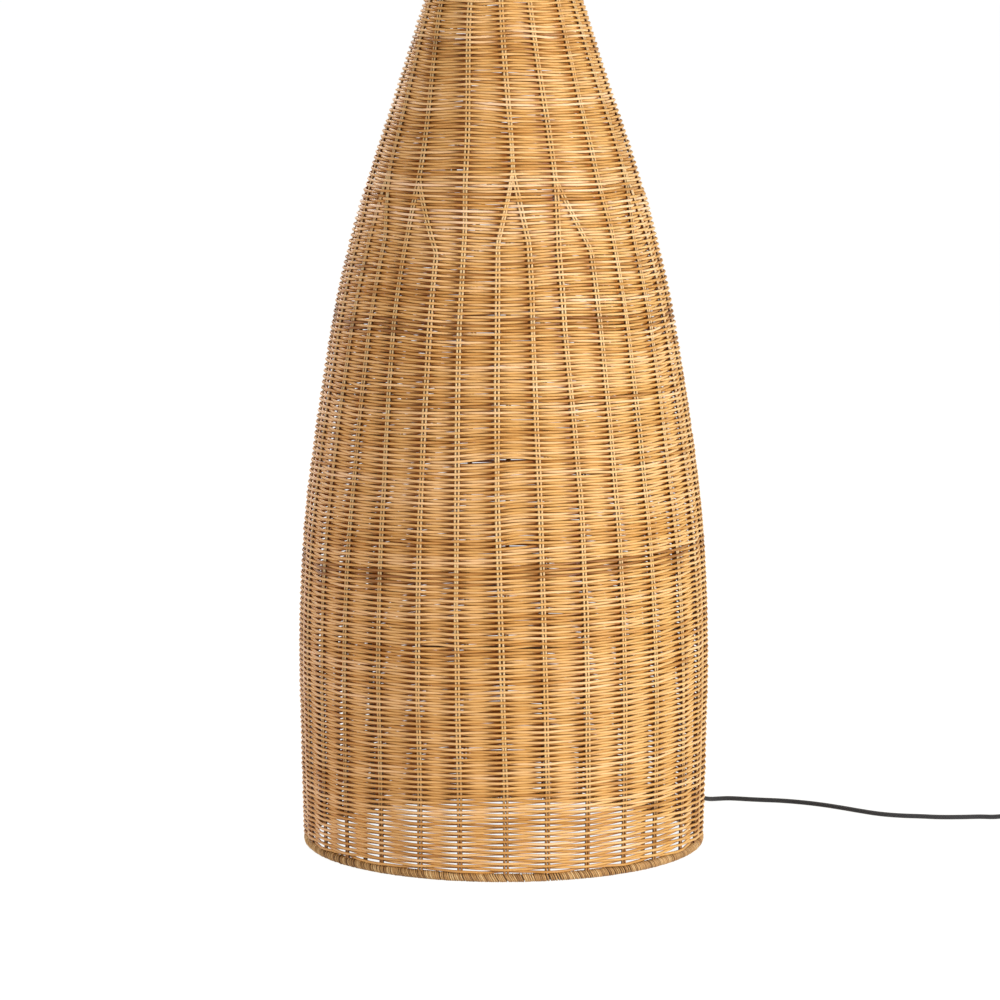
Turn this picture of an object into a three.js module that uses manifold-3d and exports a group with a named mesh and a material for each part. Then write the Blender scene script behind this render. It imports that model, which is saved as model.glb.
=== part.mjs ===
// Floor lamp: a hollow bottle of woven rattan on a wound rim, a steel frame inside it,
// a lamp holder with bulb and linen shade on its neck, and a cord with a foot switch and plug.
// Millimetres, +Z up. The origin is on the floor, under the lamp's axis. +X is to the right
// of someone who faces the lamp from its front, and -Y is the front.

import * as THREE from 'three';
import { mergeVertices } from 'three/addons/utils/BufferGeometryUtils.js';
import Module from 'manifold-3d';

const wasm = await Module();
wasm.setup();

// Clearances and counts that all pieces share
const seatGap = 0.3;
const overrun = 2;
const bodySteps = 48;
const hoopSteps = 32;
const shadeSteps = 36;
const neckSteps = 24;
const turnedSteps = 20;
const holeSteps = 16;
const wireSides = 6;
const rodSides = 8;

// Woven body
const bodyHeight = 1066;
const bellyRadius = 224.6;
const weaveThickness = 7.8;
const weaveWaist = 2.8;
// Pairs of stakes, on which the weave is thickest: fewer above the height where some of them part
const lowerPairs = 30;
const upperPairs = 18;
const upperPairAngle = -106;
const partingShare = 0.696;
const lowerRows = 7;
const upperRows = 4;
// Share of the height, then share of the belly's radius
const outlineShares = [
  [0, 0.98], [0.06, 0.988], [0.12, 0.994], [0.19, 1], [0.27, 0.992], [0.35, 0.965],
  [0.43, 0.916], [0.5, 0.864], [0.57, 0.804], [0.64, 0.723], [0.71, 0.624], [0.78, 0.512],
  [0.85, 0.406], [0.9, 0.333], [0.95, 0.271], [1, 0.236],
];

// Wound rims at the base and the neck, and the hoops in them
const windingRadius = 5;
const rimHoopRadius = 3.2;

// Frame
const ribRadius = 2.5;
const ribCount = 4;
const firstRibAngle = 45;
const ribRows = 17;
const innerHoopRadius = 2;
const lowerHoopHeight = 250;
const middleHoopHeight = 500;
const upperHoopHeight = 750;

// Neck
const plateThickness = 3;
const nutWidth = 14;
const nutHeight = 5;
const lockNutHeight = 2.6;
const capRadius = 50;
const capEdge = 2.4;
const capRise = 9;
const capCrownRadius = 13;
const tubeRadius = 5;
const tubeBore = 3.9;
const tubeTail = 12;
const tubeTip = 5;
const stemRadius = 8;
const stemHeight = 40;

// Lamp holder, with heights from its lower face
const holderRadius = 19.5;
const holderNose = 11.5;
const holderWall = 2;
const holderCapHeight = 24;
const holderTaper = 7;
const skirtHeight = 32;
const shoulderRadius = 24;
const shoulderHeight = 6;
const shoulderThickness = 2.2;
const insertHeight = 14;
const insertThickness = 8;
const contactRadius = 3.7;
const contactRise = 2;
const threadWall = 0.9;
const threadHeight = 24;
const ringNutWall = 4.7;
const ringNutHeight = 8;

// Bulb
const bulbCapRadius = 13.1;
const bulbCapHeight = 24;
const bulbCapTaper = 4;
const bulbTipRadius = 4.7;
const bulbTipHeight = 2.4;
const bulbRadius = 30;
const bulbNeckRadius = 12.6;
const bulbNeckHeight = 12;
const bulbHeight = 82;
const glassWall = 1;

// Shade
const shadeDrop = 43.7;
const shadeHeight = 330;
const shadeBottomRadius = 265;
const shadeTopRadius = 205;
const linenThickness = 0.8;
const linerThickness = 0.6;
const shadeWire = 1.5;
const wireInset = 1.2;
const centreRingWidth = 5;
const centreRingThickness = 2;
const armCount = 3;
const firstArmAngle = 90;

// Cord, its gland in the weave and the lead inside the body
const cordRadius = 2.6;
const cordSides = 8;
const cordStep = 15.9;
const glandAngle = 40;
const glandHeight = 22;
const glandFlangeRadius = 9;
const glandFlange = 2;
const glandBarrel = 5;
const glandTaper = 27;
const glandTaperRadius = 5.5;
const glandNutRadius = 8.5;
const glandNutHeight = 4;
const glandTail = 2;
const reliefTip = 3.3;
const leadBend = 24;
const leadStraight = 6;
const clipWidth = 5;
const clipWall = 1.2;
const clipMouth = 1;
const clipHeights = [870, 640, 390, 160];
// Share of the lead's free drop, then share of its way out to the rib
const leadSwingShares = [[0.12, 0.01], [0.35, 0.2], [0.6, 0.55], [0.82, 0.85]];

// Foot switch
const switchPlace = new THREE.Vector3(645.6, 101, 0);
const switchLength = 78;
const switchWidth = 34;
const switchCorner = 13;
const switchBaseHeight = 9;
const switchCoverHeight = 11;
const switchWall = 2;
const switchEntryHeight = 9.2;
const reliefLength = 20;
const reliefRoot = 5.6;
const buttonLength = 32;
const buttonWidth = 20;
const buttonCorner = 9.5;
const buttonRise = 4;
const buttonLip = 1.8;
const buttonLipThickness = 1.5;
const buttonTravel = 2.5;
const blockLength = 30;
const blockWidth = 18;

// Coil of the spare cord, and its tie
const coilCentre = new THREE.Vector3(740, 61.4, 0);
const coilOuterRadius = 39.6;
const coilPitch = 5.7;
const coilTurnsPerLayer = 3;
const coilSteps = 24;
const coilSides = 6;
const coilTieWall = 0.8;
const coilTieWidth = 8;
const coilTieSlack = 0.7;

// Plug
const plugWidth = 35;
const plugThickness = 13.8;
const plugLength = 36;
const plugShoulder = 14;
const plugHeel = 14;
const plugCorner = 3;
const plugLead = 41.6;
const plugReliefRoot = 5.8;
const plugReliefLength = 22;
const pinRadius = 2;
const pinLength = 19;
const pinTip = 1.5;
const pinSpacing = 18.6;
const floorClearance = 0.1;

// Routes of the free cord, chosen by hand
const switchRoute = [
  [195.6, 164.1, 22], [200.5, 168.2, 21.2], [208, 174.3, 18], [217, 181.5, 12.5], [226, 188.7, 7],
  [235.5, 195.7, 3.7], [246, 201.6, 2.7], [257, 203.8, 2.7], [268, 202.2, 2.7],
  [280, 198.8, 2.7], [296, 195, 2.7], [317, 190.5, 2.7], [339, 182, 2.7],
  [361, 169.5, 2.7], [383, 152.5, 2.7], [404, 134, 2.7], [425, 118, 2.7],
  [447, 109, 2.7], [469, 105, 2.7], [491, 100.8, 2.7], [514, 101, 2.7],
  [536, 103, 2.7], [554, 102, 2.8], [566, 101, 4.6], [575, 101, 7.4], [581.5, 101, 9.1],
];
const coilRoute = [[709, 101, 9.1], [716, 101, 7.6], [724, 101, 5.1], [730.5, 101, 3.9]];
const plugRoute = [[730, 21.8, 9.4], [722, 21.8, 8.9], [706, 21.8, 7.5], [697.5, 21.8, 7]];

// Colours and finishes
function finish(color, roughness, metalness) {
  return new THREE.MeshStandardMaterial({ color, roughness, metalness });
}

const caneFinish = finish(0xd8a467, 0.6, 0);
const windingFinish = finish(0xb98f5e, 0.65, 0);
const steelFinish = finish(0x6b6560, 0.5, 0.8);
const zincFinish = finish(0xb9b9b4, 0.35, 0.9);
const blackMetalFinish = finish(0x1d1c1b, 0.5, 0.4);
const holderFinish = finish(0x202020, 0.45, 0);
const ceramicFinish = finish(0xe9e6de, 0.3, 0);
const brassFinish = finish(0xc9a45a, 0.3, 0.9);
const glassFinish = finish(0xf6f2e8, 0.25, 0);
const linenFinish = finish(0xe5dac3, 0.9, 0);
const linerFinish = finish(0xf3f0e6, 0.7, 0);
const whiteWireFinish = finish(0xe8e6e0, 0.5, 0);
const cordFinish = finish(0x2b2b2c, 0.8, 0);
const plasticFinish = finish(0x242424, 0.5, 0);

// A closed surface with shared corners and no sliver of zero area
function closedSurface(geometry) {
  const bare = geometry.clone();
  for (const name of ['normal', 'uv']) {
    bare.deleteAttribute(name);
  }
  const merged = mergeVertices(bare, 1e-4);
  const corners = merged.index.array;
  const kept = [];
  for (let i = 0; i < corners.length; i += 3) {
    const [a, b, c] = corners.slice(i, i + 3);
    if (a !== b && b !== c && c !== a) {
      kept.push(a, b, c);
    }
  }
  merged.setIndex(kept);
  return merged;
}

function toSolid(geometry) {
  const surface = closedSurface(geometry);
  const vertProperties = new Float32Array(surface.attributes.position.array);
  const triVerts = new Uint32Array(surface.index.array);
  return new wasm.Manifold(new wasm.Mesh({ numProp: 3, vertProperties, triVerts }));
}

function fromSolid(solid) {
  const mesh = solid.getMesh();
  const geometry = new THREE.BufferGeometry();
  geometry.setAttribute('position', new THREE.BufferAttribute(mesh.vertProperties, 3));
  geometry.setIndex(new THREE.BufferAttribute(mesh.triVerts, 1));
  return geometry;
}

function cut(geometry, ...cutters) {
  let solid = toSolid(geometry);
  for (const cutter of cutters) {
    solid = solid.subtract(toSolid(cutter));
  }
  return fromSolid(solid);
}

// A turned shape about Z from [radius, height] points that run outward and up
function turned(points, steps) {
  const profile = points.map(([radius, height]) => new THREE.Vector2(radius, height));
  return new THREE.LatheGeometry(profile, steps).rotateX(Math.PI / 2);
}

// A turned shape whose profile is a loop clear of the axis
function turnedLoop(points, steps) {
  return turned([...points, points[0]], steps);
}

function tubeShape(outer, inner, bottom, top) {
  return [[outer, bottom], [outer, top], [inner, top], [inner, bottom]];
}

function sectionRing(centreRadius, centreHeight, radius, sides, steps) {
  const points = [];
  for (let i = 0; i < sides; i += 1) {
    const angle = (2 * Math.PI * i) / sides;
    points.push([centreRadius + radius * Math.cos(angle), centreHeight + radius * Math.sin(angle)]);
  }
  return turnedLoop(points, steps);
}

function polygonShape(radius, sides) {
  const points = [];
  for (let i = 0; i < sides; i += 1) {
    const angle = (2 * Math.PI * (i + 0.5)) / sides;
    points.push(new THREE.Vector2(radius * Math.cos(angle), radius * Math.sin(angle)));
  }
  return new THREE.Shape(points);
}

function tubeAlong(points, radius, sides, steps) {
  const curve = new THREE.CatmullRomCurve3(points, false, 'centripetal');
  return new THREE.ExtrudeGeometry(polygonShape(radius, sides), { extrudePath: curve, steps });
}

function rod(from, to, radius, sides) {
  const line = new THREE.LineCurve3(from, to);
  return new THREE.ExtrudeGeometry(polygonShape(radius, sides), { extrudePath: line, steps: 1 });
}

function prism(shape, bottom, top, curveSegments = 4) {
  const depth = top - bottom;
  const solid = new THREE.ExtrudeGeometry(shape, { depth, bevelEnabled: false, curveSegments });
  return solid.translate(0, 0, bottom);
}

function roundedRectangle(length, width, corner) {
  const x = length / 2 - corner;
  const y = width / 2 - corner;
  const shape = new THREE.Shape();
  shape.absarc(x, y, corner, 0, Math.PI / 2, false);
  shape.absarc(-x, y, corner, Math.PI / 2, Math.PI, false);
  shape.absarc(-x, -y, corner, Math.PI, 1.5 * Math.PI, false);
  shape.absarc(x, -y, corner, 1.5 * Math.PI, 2 * Math.PI, false);
  return shape;
}

function part(parent, name, geometry, material) {
  const mesh = new THREE.Mesh(geometry, material);
  mesh.name = name;
  parent.add(mesh);
  return mesh;
}

function group(parent, x, y, z) {
  const made = new THREE.Group();
  made.position.set(x, y, z);
  parent.add(made);
  return made;
}

function around(radius, angle, height) {
  const turn = THREE.MathUtils.degToRad(angle);
  return new THREE.Vector3(radius * Math.cos(turn), radius * Math.sin(turn), height);
}

// The weave's outer radius at a height above the floor
function outlineSlope(i) {
  const before = outlineShares[Math.max(i - 1, 0)];
  const after = outlineShares[Math.min(i + 1, outlineShares.length - 1)];
  return (after[1] - before[1]) / (after[0] - before[0]);
}

function outerRadius(height) {
  const share = THREE.MathUtils.clamp(height / bodyHeight, 0, 1);
  const last = outlineShares.length - 2;
  const found = outlineShares.findIndex(([level]) => level > share) - 1;
  const i = found < 0 ? last : found;
  const [level, radius] = outlineShares[i];
  const [nextLevel, nextRadius] = outlineShares[i + 1];
  const span = nextLevel - level;
  const t = (share - level) / span;
  const value = (2 * t ** 3 - 3 * t ** 2 + 1) * radius
    + (t ** 3 - 2 * t ** 2 + t) * span * outlineSlope(i)
    + (3 * t ** 2 - 2 * t ** 3) * nextRadius
    + (t ** 3 - t ** 2) * span * outlineSlope(i + 1);
  return bellyRadius * value;
}

function wallSlope(height) {
  const step = bodyHeight / 200;
  return (outerRadius(height + step) - outerRadius(height - step)) / (2 * step);
}

// How much longer a horizontal offset is than the same offset square to the wall
function wallStretch(height) {
  return Math.hypot(1, wallSlope(height));
}

// Sizes that follow from those above
const windingRest = windingRadius * Math.cos(Math.PI / 12);
const rimTop = 2 * windingRest;
const weaveBottom = rimTop + seatGap;
const baseHoopRadius = outerRadius(windingRest) - windingRadius;
const neckHoopRadius = outerRadius(bodyHeight) - windingRadius;
const neckHoopHeight = bodyHeight + seatGap + windingRest;
const ribInset = windingRadius + rimHoopRadius + seatGap + ribRadius;
const plateRadius = neckHoopRadius - rimHoopRadius - seatGap;
const plateBottom = neckHoopHeight - plateThickness / 2;
const plateTop = plateBottom + plateThickness;
const tubeHole = tubeRadius + seatGap;
const neckCapBottom = neckHoopHeight + windingRest + seatGap;
const stemBottom = neckCapBottom + capRise + seatGap;
const holderBottom = stemBottom + stemHeight + seatGap;
const tubeBottom = plateBottom - tubeTail;
const tubeTop = holderBottom + holderWall + tubeTip;

// Woven body: a shell that swells in and out on each pair of stakes and narrows between two pairs
function stakedShell(bottom, top, rows, pairs, firstAngle) {
  const outer = [];
  for (let row = 0; row <= rows; row += 1) {
    const height = bottom + ((top - bottom) * row) / rows;
    outer.push([outerRadius(height), height]);
  }
  const inner = outer.map(([radius, height]) => [radius - weaveThickness, height]).reverse();
  const shell = turnedLoop([...outer, ...inner], 2 * pairs);
  const place = shell.attributes.position;
  const dip = (weaveThickness - weaveWaist) / 2;
  for (let i = 0; i < place.count; i += 1) {
    const height = place.getZ(i);
    const radius = Math.hypot(place.getX(i), place.getY(i));
    const turn = Math.atan2(place.getY(i), place.getX(i));
    const between = Math.abs(Math.sin((pairs * turn) / 2));
    const side = radius > outerRadius(height) - weaveThickness / 2 ? -1 : 1;
    const angle = firstAngle + THREE.MathUtils.radToDeg(turn);
    place.setXYZ(i, ...around(radius + side * dip * between, angle, height).toArray());
  }
  return shell;
}

// Both parts of the body, open at both ends, with a hole for the gland in one of the pairs
function wovenBody() {
  const parting = bodyHeight * partingShare;
  const lower = stakedShell(weaveBottom, parting, lowerRows, lowerPairs, glandAngle);
  const upper = stakedShell(parting - overrun, bodyHeight, upperRows, upperPairs, upperPairAngle);
  const shell = fromSolid(toSolid(lower).add(toSolid(upper)));
  const middle = outerRadius(glandHeight) - weaveThickness / 2;
  const reach = weaveThickness / 2 + overrun + seatGap;
  const hole = rod(
    around(middle - reach, glandAngle, glandHeight),
    around(middle + reach, glandAngle, glandHeight),
    glandBarrel + 2 * seatGap,
    turnedSteps,
  );
  return cut(shell, hole);
}

// Winding of a rim: it goes round its hoop and is open where the ribs or the plate meet it
function rimWinding(centreRadius, centreHeight, steps) {
  const openHalf = 57;
  const outerTurns = [openHalf, 75, 105, 140, 180, 220, 255, 285, 360 - openHalf];
  const innerCount = 6;
  const innerTurn = (360 - 2 * openHalf) / innerCount;
  const innerTurns = Array.from({ length: innerCount + 1 }, (_, i) => openHalf + innerTurn * i);
  const innerRadius = (rimHoopRadius + seatGap) / Math.cos(THREE.MathUtils.degToRad(innerTurn / 2));
  const arc = (radius, turns) => turns.map((angle) => {
    const turn = THREE.MathUtils.degToRad(180 - angle);
    return [centreRadius + radius * Math.cos(turn), centreHeight + radius * Math.sin(turn)];
  });
  const outside = arc(windingRadius, outerTurns).reverse();
  return turnedLoop([...outside, ...arc(innerRadius, innerTurns)], steps);
}

// Frame
function rib(angle) {
  const foot = windingRest - rimHoopRadius;
  const head = plateBottom - seatGap;
  const points = [];
  for (let row = 0; row <= ribRows; row += 1) {
    const height = foot + ((head - foot) * row) / ribRows;
    points.push(around(outerRadius(height) - ribInset, angle, height));
  }
  return tubeAlong(points, ribRadius, rodSides, ribRows);
}

function innerHoop(height, steps) {
  const fromRib = (ribRadius + seatGap + innerHoopRadius) * wallStretch(height);
  const radius = outerRadius(height) - ribInset - fromRib;
  return sectionRing(radius, height, innerHoopRadius, wireSides, steps);
}

function ribAngle(index) {
  return firstRibAngle + (360 * index) / ribCount;
}

// Neck
function hexNut(bottom, height) {
  const shape = polygonShape(nutWidth / Math.sqrt(3), 6);
  const hole = new THREE.Path();
  hole.absarc(0, 0, tubeHole, 0, 2 * Math.PI, true);
  shape.holes.push(hole);
  return prism(shape, bottom, bottom + height, turnedSteps);
}

function neckCap() {
  const crown = [];
  const arcs = 5;
  for (let i = 0; i <= arcs; i += 1) {
    const turn = ((Math.PI / 2) * i) / arcs;
    crown.push([
      capCrownRadius + (capRadius - capCrownRadius) * Math.cos(turn),
      neckCapBottom + capEdge + (capRise - capEdge) * Math.sin(turn),
    ]);
  }
  const top = neckCapBottom + capRise;
  const points = [[tubeHole, neckCapBottom], [capRadius, neckCapBottom], ...crown, [tubeHole, top]];
  return turnedLoop(points, neckSteps);
}

// Lamp holder
function holderCap() {
  return turnedLoop([
    [tubeHole, 0],
    [holderNose, 0],
    [holderRadius, holderTaper],
    [holderRadius, holderCapHeight],
    [holderRadius - holderWall, holderCapHeight],
    [holderRadius - holderWall, holderTaper + holderWall / 2],
    [holderNose - holderWall / 2, holderWall],
    [tubeHole, holderWall],
  ], turnedSteps);
}

const skirtBottom = holderCapHeight + seatGap;
const shoulderTop = skirtBottom + shoulderHeight + shoulderThickness;

function holderSkirt() {
  const inner = holderRadius - holderWall;
  return turnedLoop([
    [inner, skirtBottom],
    [holderRadius, skirtBottom],
    [holderRadius, skirtBottom + shoulderHeight],
    [shoulderRadius, skirtBottom + shoulderHeight],
    [shoulderRadius, shoulderTop],
    [holderRadius, shoulderTop],
    [holderRadius, skirtBottom + skirtHeight],
    [inner, skirtBottom + skirtHeight],
  ], turnedSteps);
}

const insertTop = insertHeight + insertThickness;
const threadBottom = insertTop + seatGap;
const threadInner = bulbCapRadius + seatGap;
const contactTop = insertTop + contactRise;

function holderInsert() {
  const outer = holderRadius - holderWall - seatGap;
  return turnedLoop(tubeShape(outer, contactRadius + seatGap, insertHeight, insertTop), turnedSteps);
}

function centreContact() {
  const bottom = insertHeight + seatGap;
  return turned([[0, bottom], [contactRadius, bottom], [contactRadius, contactTop], [0, contactTop]],
    turnedSteps);
}

function threadShell() {
  const top = threadBottom + threadHeight;
  return turnedLoop(tubeShape(threadInner + threadWall, threadInner, threadBottom, top), turnedSteps);
}

const centreRingBottom = shoulderTop + seatGap;
const ringNutBottom = centreRingBottom + centreRingThickness + seatGap;

function shadeRingNut() {
  const inner = holderRadius + seatGap;
  const top = ringNutBottom + ringNutHeight;
  return turnedLoop(tubeShape(inner + ringNutWall, inner, ringNutBottom, top), turnedSteps);
}

// Bulb
const bulbTipBottom = contactTop + seatGap;
const bulbCapBottom = bulbTipBottom + bulbTipHeight + seatGap;
const bulbGlassBottom = bulbCapBottom + bulbCapHeight + seatGap;

function bulbTip() {
  const top = bulbTipBottom + bulbTipHeight;
  return turned([[0, bulbTipBottom], [bulbTipRadius, bulbTipBottom + bulbTipHeight / 3],
    [bulbTipRadius, top], [0, top]], turnedSteps);
}

function bulbCap() {
  const top = bulbCapBottom + bulbCapHeight;
  return turned([[0, bulbCapBottom], [bulbCapRadius - bulbCapTaper, bulbCapBottom],
    [bulbCapRadius, bulbCapBottom + bulbCapTaper], [bulbCapRadius, top], [0, top]], turnedSteps);
}

function bulbGlass() {
  const centre = bulbHeight - bulbRadius;
  const arcs = 6;
  const joinShare = 0.24;
  const wall = (offset) => {
    const points = [[bulbNeckRadius - offset, 0], [bulbNeckRadius - offset, bulbNeckHeight]];
    for (let i = 0; i <= arcs; i += 1) {
      const turn = Math.PI * (-joinShare + ((0.5 + joinShare) * i) / arcs);
      const radius = bulbRadius - offset;
      points.push([Math.max(radius * Math.cos(turn), 0), centre + radius * Math.sin(turn)]);
    }
    return points;
  };
  const outside = wall(0);
  const inside = wall(glassWall).reverse();
  const loop = [...outside, ...inside].map(([radius, height]) => [radius, bulbGlassBottom + height]);
  return turnedLoop(loop, turnedSteps);
}

// Shade, which hangs on its centre ring
const shadeBottomHeight = holderBottom + centreRingBottom - shadeDrop;

function shadeRadius(height) {
  const share = (height - shadeBottomHeight) / shadeHeight;
  return shadeBottomRadius + (shadeTopRadius - shadeBottomRadius) * share;
}

const shadeTopHeight = shadeBottomHeight + shadeHeight;
const shadeStretch = Math.hypot(1, (shadeTopRadius - shadeBottomRadius) / shadeHeight);
const linerInset = linenThickness + seatGap;
const wireCentreInset = linerInset + linerThickness + (seatGap + shadeWire) * shadeStretch;
const bottomWireHeight = shadeBottomHeight + wireInset + shadeWire;
const topWireHeight = shadeTopHeight - wireInset - shadeWire;

function shadeWall(inset, thickness) {
  return turnedLoop([
    [shadeBottomRadius - inset, shadeBottomHeight],
    [shadeTopRadius - inset, shadeTopHeight],
    [shadeTopRadius - inset - thickness, shadeTopHeight],
    [shadeBottomRadius - inset - thickness, shadeBottomHeight],
  ], shadeSteps);
}

function shadeRing(height) {
  const radius = shadeRadius(height) - wireCentreInset;
  return sectionRing(radius, height, shadeWire, wireSides, shadeSteps);
}

const centreRingInner = holderRadius + seatGap;
const centreRingOuter = centreRingInner + centreRingWidth;

function centreRing() {
  const bottom = holderBottom + centreRingBottom;
  return turnedLoop(tubeShape(centreRingOuter, centreRingInner, bottom, bottom + centreRingThickness),
    turnedSteps);
}

function spiderArm(angle) {
  const high = holderBottom + centreRingBottom + centreRingThickness / 2;
  const inner = centreRingOuter + seatGap;
  const outer = shadeRadius(bottomWireHeight) - wireCentreInset - shadeWire - seatGap;
  const tilt = Math.atan2(high - bottomWireHeight, outer - inner);
  const slant = shadeWire * Math.sin(tilt);
  return rod(around(inner + slant, angle, high), around(outer - slant, angle, bottomWireHeight),
    shadeWire, wireSides);
}

// Gland in the weave, turned about its own axis, which points out of the body
const glandFace = outerRadius(glandHeight) + seatGap;
const weaveInside = outerRadius(glandHeight) - weaveThickness;
const glandNutFace = weaveInside - seatGap;
const glandTailEnd = glandNutFace - glandNutHeight - glandTail;
const glandTip = glandFace + glandFlange + glandTaper;

function cordGland() {
  return turned([
    [0, glandTailEnd],
    [glandBarrel, glandTailEnd],
    [glandBarrel, glandFace],
    [glandFlangeRadius, glandFace],
    [glandFlangeRadius, glandFace + glandFlange],
    [glandTaperRadius, glandFace + glandFlange],
    [reliefTip, glandTip],
    [0, glandTip],
  ], turnedSteps);
}

function glandNut() {
  const inner = glandBarrel + seatGap;
  return turnedLoop(tubeShape(glandNutRadius, inner, glandNutFace - glandNutHeight, glandNutFace),
    turnedSteps);
}

// Lead inside the body: down the threaded tube, out to the first rib, down it and to the gland
function leadRadiusAt(height) {
  const wires = ribRadius + seatGap + 2 * innerHoopRadius + seatGap + cordRadius;
  return outerRadius(height) - ribInset - (wires + seatGap) * wallStretch(height);
}

function leadPoints() {
  const top = holderBottom + insertHeight - seatGap;
  const runTop = clipHeights[0] + 2 * leadBend;
  const runBottom = clipHeights[clipHeights.length - 1] - 2 * leadBend;
  const points = [around(0, 0, top), around(0, 0, (top + tubeBottom) / 2), around(0, 0, tubeBottom)];
  for (const [drop, out] of leadSwingShares) {
    const height = tubeBottom + (runTop - tubeBottom) * drop;
    points.push(around(leadRadiusAt(runTop) * out, firstRibAngle, height));
  }
  const rows = 28;
  for (let row = 0; row <= rows; row += 1) {
    const height = runTop + ((runBottom - runTop) * row) / rows;
    points.push(around(leadRadiusAt(height), firstRibAngle, height));
  }
  const bendRadius = glandTailEnd - seatGap - leadStraight - leadBend;
  const bendHeight = glandHeight + leadBend;
  const swingHeight = (runBottom + bendHeight) / 2;
  const swingRadius = (leadRadiusAt(runBottom) + bendRadius) / 2;
  const swingAngle = (firstRibAngle + glandAngle) / 2;
  points.push(around(swingRadius, swingAngle, swingHeight));
  const arcs = 4;
  for (let i = 0; i <= arcs; i += 1) {
    const turn = ((Math.PI / 2) * i) / arcs;
    const radius = bendRadius + leadBend * (1 - Math.cos(turn));
    points.push(around(radius, glandAngle, bendHeight - leadBend * Math.sin(turn)));
  }
  points.push(around(glandTailEnd - seatGap, glandAngle, glandHeight));
  return points;
}

function pathLength(points) {
  return new THREE.CatmullRomCurve3(points, false, 'centripetal').getLength();
}

function cordAlong(points) {
  const steps = Math.max(2, Math.round(pathLength(points) / cordStep));
  return tubeAlong(points, cordRadius, cordSides, steps);
}

// Moulded clip that snaps on a rib from inside the body and holds the lead
function leadClip(height) {
  const ribCentre = outerRadius(height) - ribInset;
  const leadCentre = leadRadiusAt(height);
  const half = (ribCentre - leadCentre) / 2 / wallStretch(height);
  const ribHole = ribRadius + seatGap;
  const leadHole = cordRadius + seatGap;
  const outline = new THREE.Shape();
  outline.absarc(half, 0, ribHole + clipWall, -Math.PI / 2, Math.PI / 2, false);
  outline.absarc(-half, 0, leadHole + clipWall, Math.PI / 2, 1.5 * Math.PI, false);
  const reach = clipWidth / 2 + overrun;
  const hole = (x, radius) => rod(
    new THREE.Vector3(x, 0, -reach), new THREE.Vector3(x, 0, reach), radius, holeSteps);
  const mouth = new THREE.BoxGeometry(2 * reach, 2 * reach, 2 * reach);
  mouth.translate(half + clipMouth + reach, 0, 0);
  const ring = cut(prism(outline, -clipWidth / 2, clipWidth / 2), hole(half, ribHole),
    hole(-half, leadHole), mouth);
  const clip = new THREE.Group();
  clip.position.copy(around((ribCentre + leadCentre) / 2, firstRibAngle, height));
  clip.rotation.set(0, Math.atan(wallSlope(height)), THREE.MathUtils.degToRad(firstRibAngle), 'ZYX');
  return [clip, ring];
}

// Foot switch
function switchBase() {
  const block = prism(roundedRectangle(switchLength, switchWidth, switchCorner), 0, switchBaseHeight);
  const hollow = roundedRectangle(
    switchLength - 2 * switchWall, switchWidth - 2 * switchWall, switchCorner - switchWall);
  return cut(block, prism(hollow, switchWall, switchBaseHeight + overrun));
}

const coverBottom = switchBaseHeight + seatGap;
const coverTop = coverBottom + switchCoverHeight;
const coverCeiling = coverTop - switchWall;
const lipTop = coverCeiling - seatGap;
const lipBottom = lipTop - buttonLipThickness;

function switchCover() {
  const block = prism(roundedRectangle(switchLength, switchWidth, switchCorner), coverBottom, coverTop);
  const hollow = roundedRectangle(
    switchLength - 2 * switchWall, switchWidth - 2 * switchWall, switchCorner - switchWall);
  const window = roundedRectangle(
    buttonLength + 2 * seatGap, buttonWidth + 2 * seatGap, buttonCorner + seatGap);
  return cut(
    block,
    prism(hollow, coverBottom - overrun, coverCeiling),
    prism(window, coverCeiling - overrun, coverTop + overrun),
  );
}

function switchButton() {
  const lip = roundedRectangle(
    buttonLength + 2 * buttonLip, buttonWidth + 2 * buttonLip, buttonCorner + buttonLip);
  const post = roundedRectangle(buttonLength, buttonWidth, buttonCorner);
  const plate = toSolid(prism(lip, lipBottom, lipTop));
  return fromSolid(plate.add(toSolid(prism(post, (lipBottom + lipTop) / 2, coverTop + buttonRise))));
}

function switchBlock() {
  const bottom = switchWall + seatGap;
  const top = lipBottom - buttonTravel - seatGap;
  const block = new THREE.BoxGeometry(blockLength, blockWidth, top - bottom);
  return block.translate(0, 0, (top + bottom) / 2);
}

function relief(rootRadius, length) {
  return turned([[0, 0], [rootRadius, 0], [reliefTip, length], [0, length]], turnedSteps);
}

// Coil: the cord winds inward on the floor, climbs in the half turn at its middle and winds out
const coilFloor = floorClearance + coilTieWall + seatGap + cordRadius;
const coilTurns = 2 * coilTurnsPerLayer + 0.5;

function coilPoint(turn) {
  const inward = coilTurnsPerLayer + 0.25;
  const innerRadius = coilOuterRadius - coilPitch * inward;
  const radius = innerRadius + coilPitch * Math.abs(turn - inward);
  const climb = THREE.MathUtils.clamp((turn - coilTurnsPerLayer) / 0.5, 0, 1);
  const angle = Math.PI / 2 - 2 * Math.PI * turn;
  return new THREE.Vector3(
    coilCentre.x + radius * Math.cos(angle),
    coilCentre.y + radius * Math.sin(angle),
    coilFloor + coilPitch * climb * climb * (3 - 2 * climb),
  );
}

function coilLine() {
  const lead = new THREE.Vector3(2 * cordRadius, 0, 0);
  const points = [coilPoint(0).sub(lead)];
  const count = Math.round(coilTurns * coilSteps);
  for (let i = 0; i <= count; i += 1) {
    points.push(coilPoint((coilTurns * i) / count));
  }
  points.push(coilPoint(coilTurns).sub(lead));
  return points;
}

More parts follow.
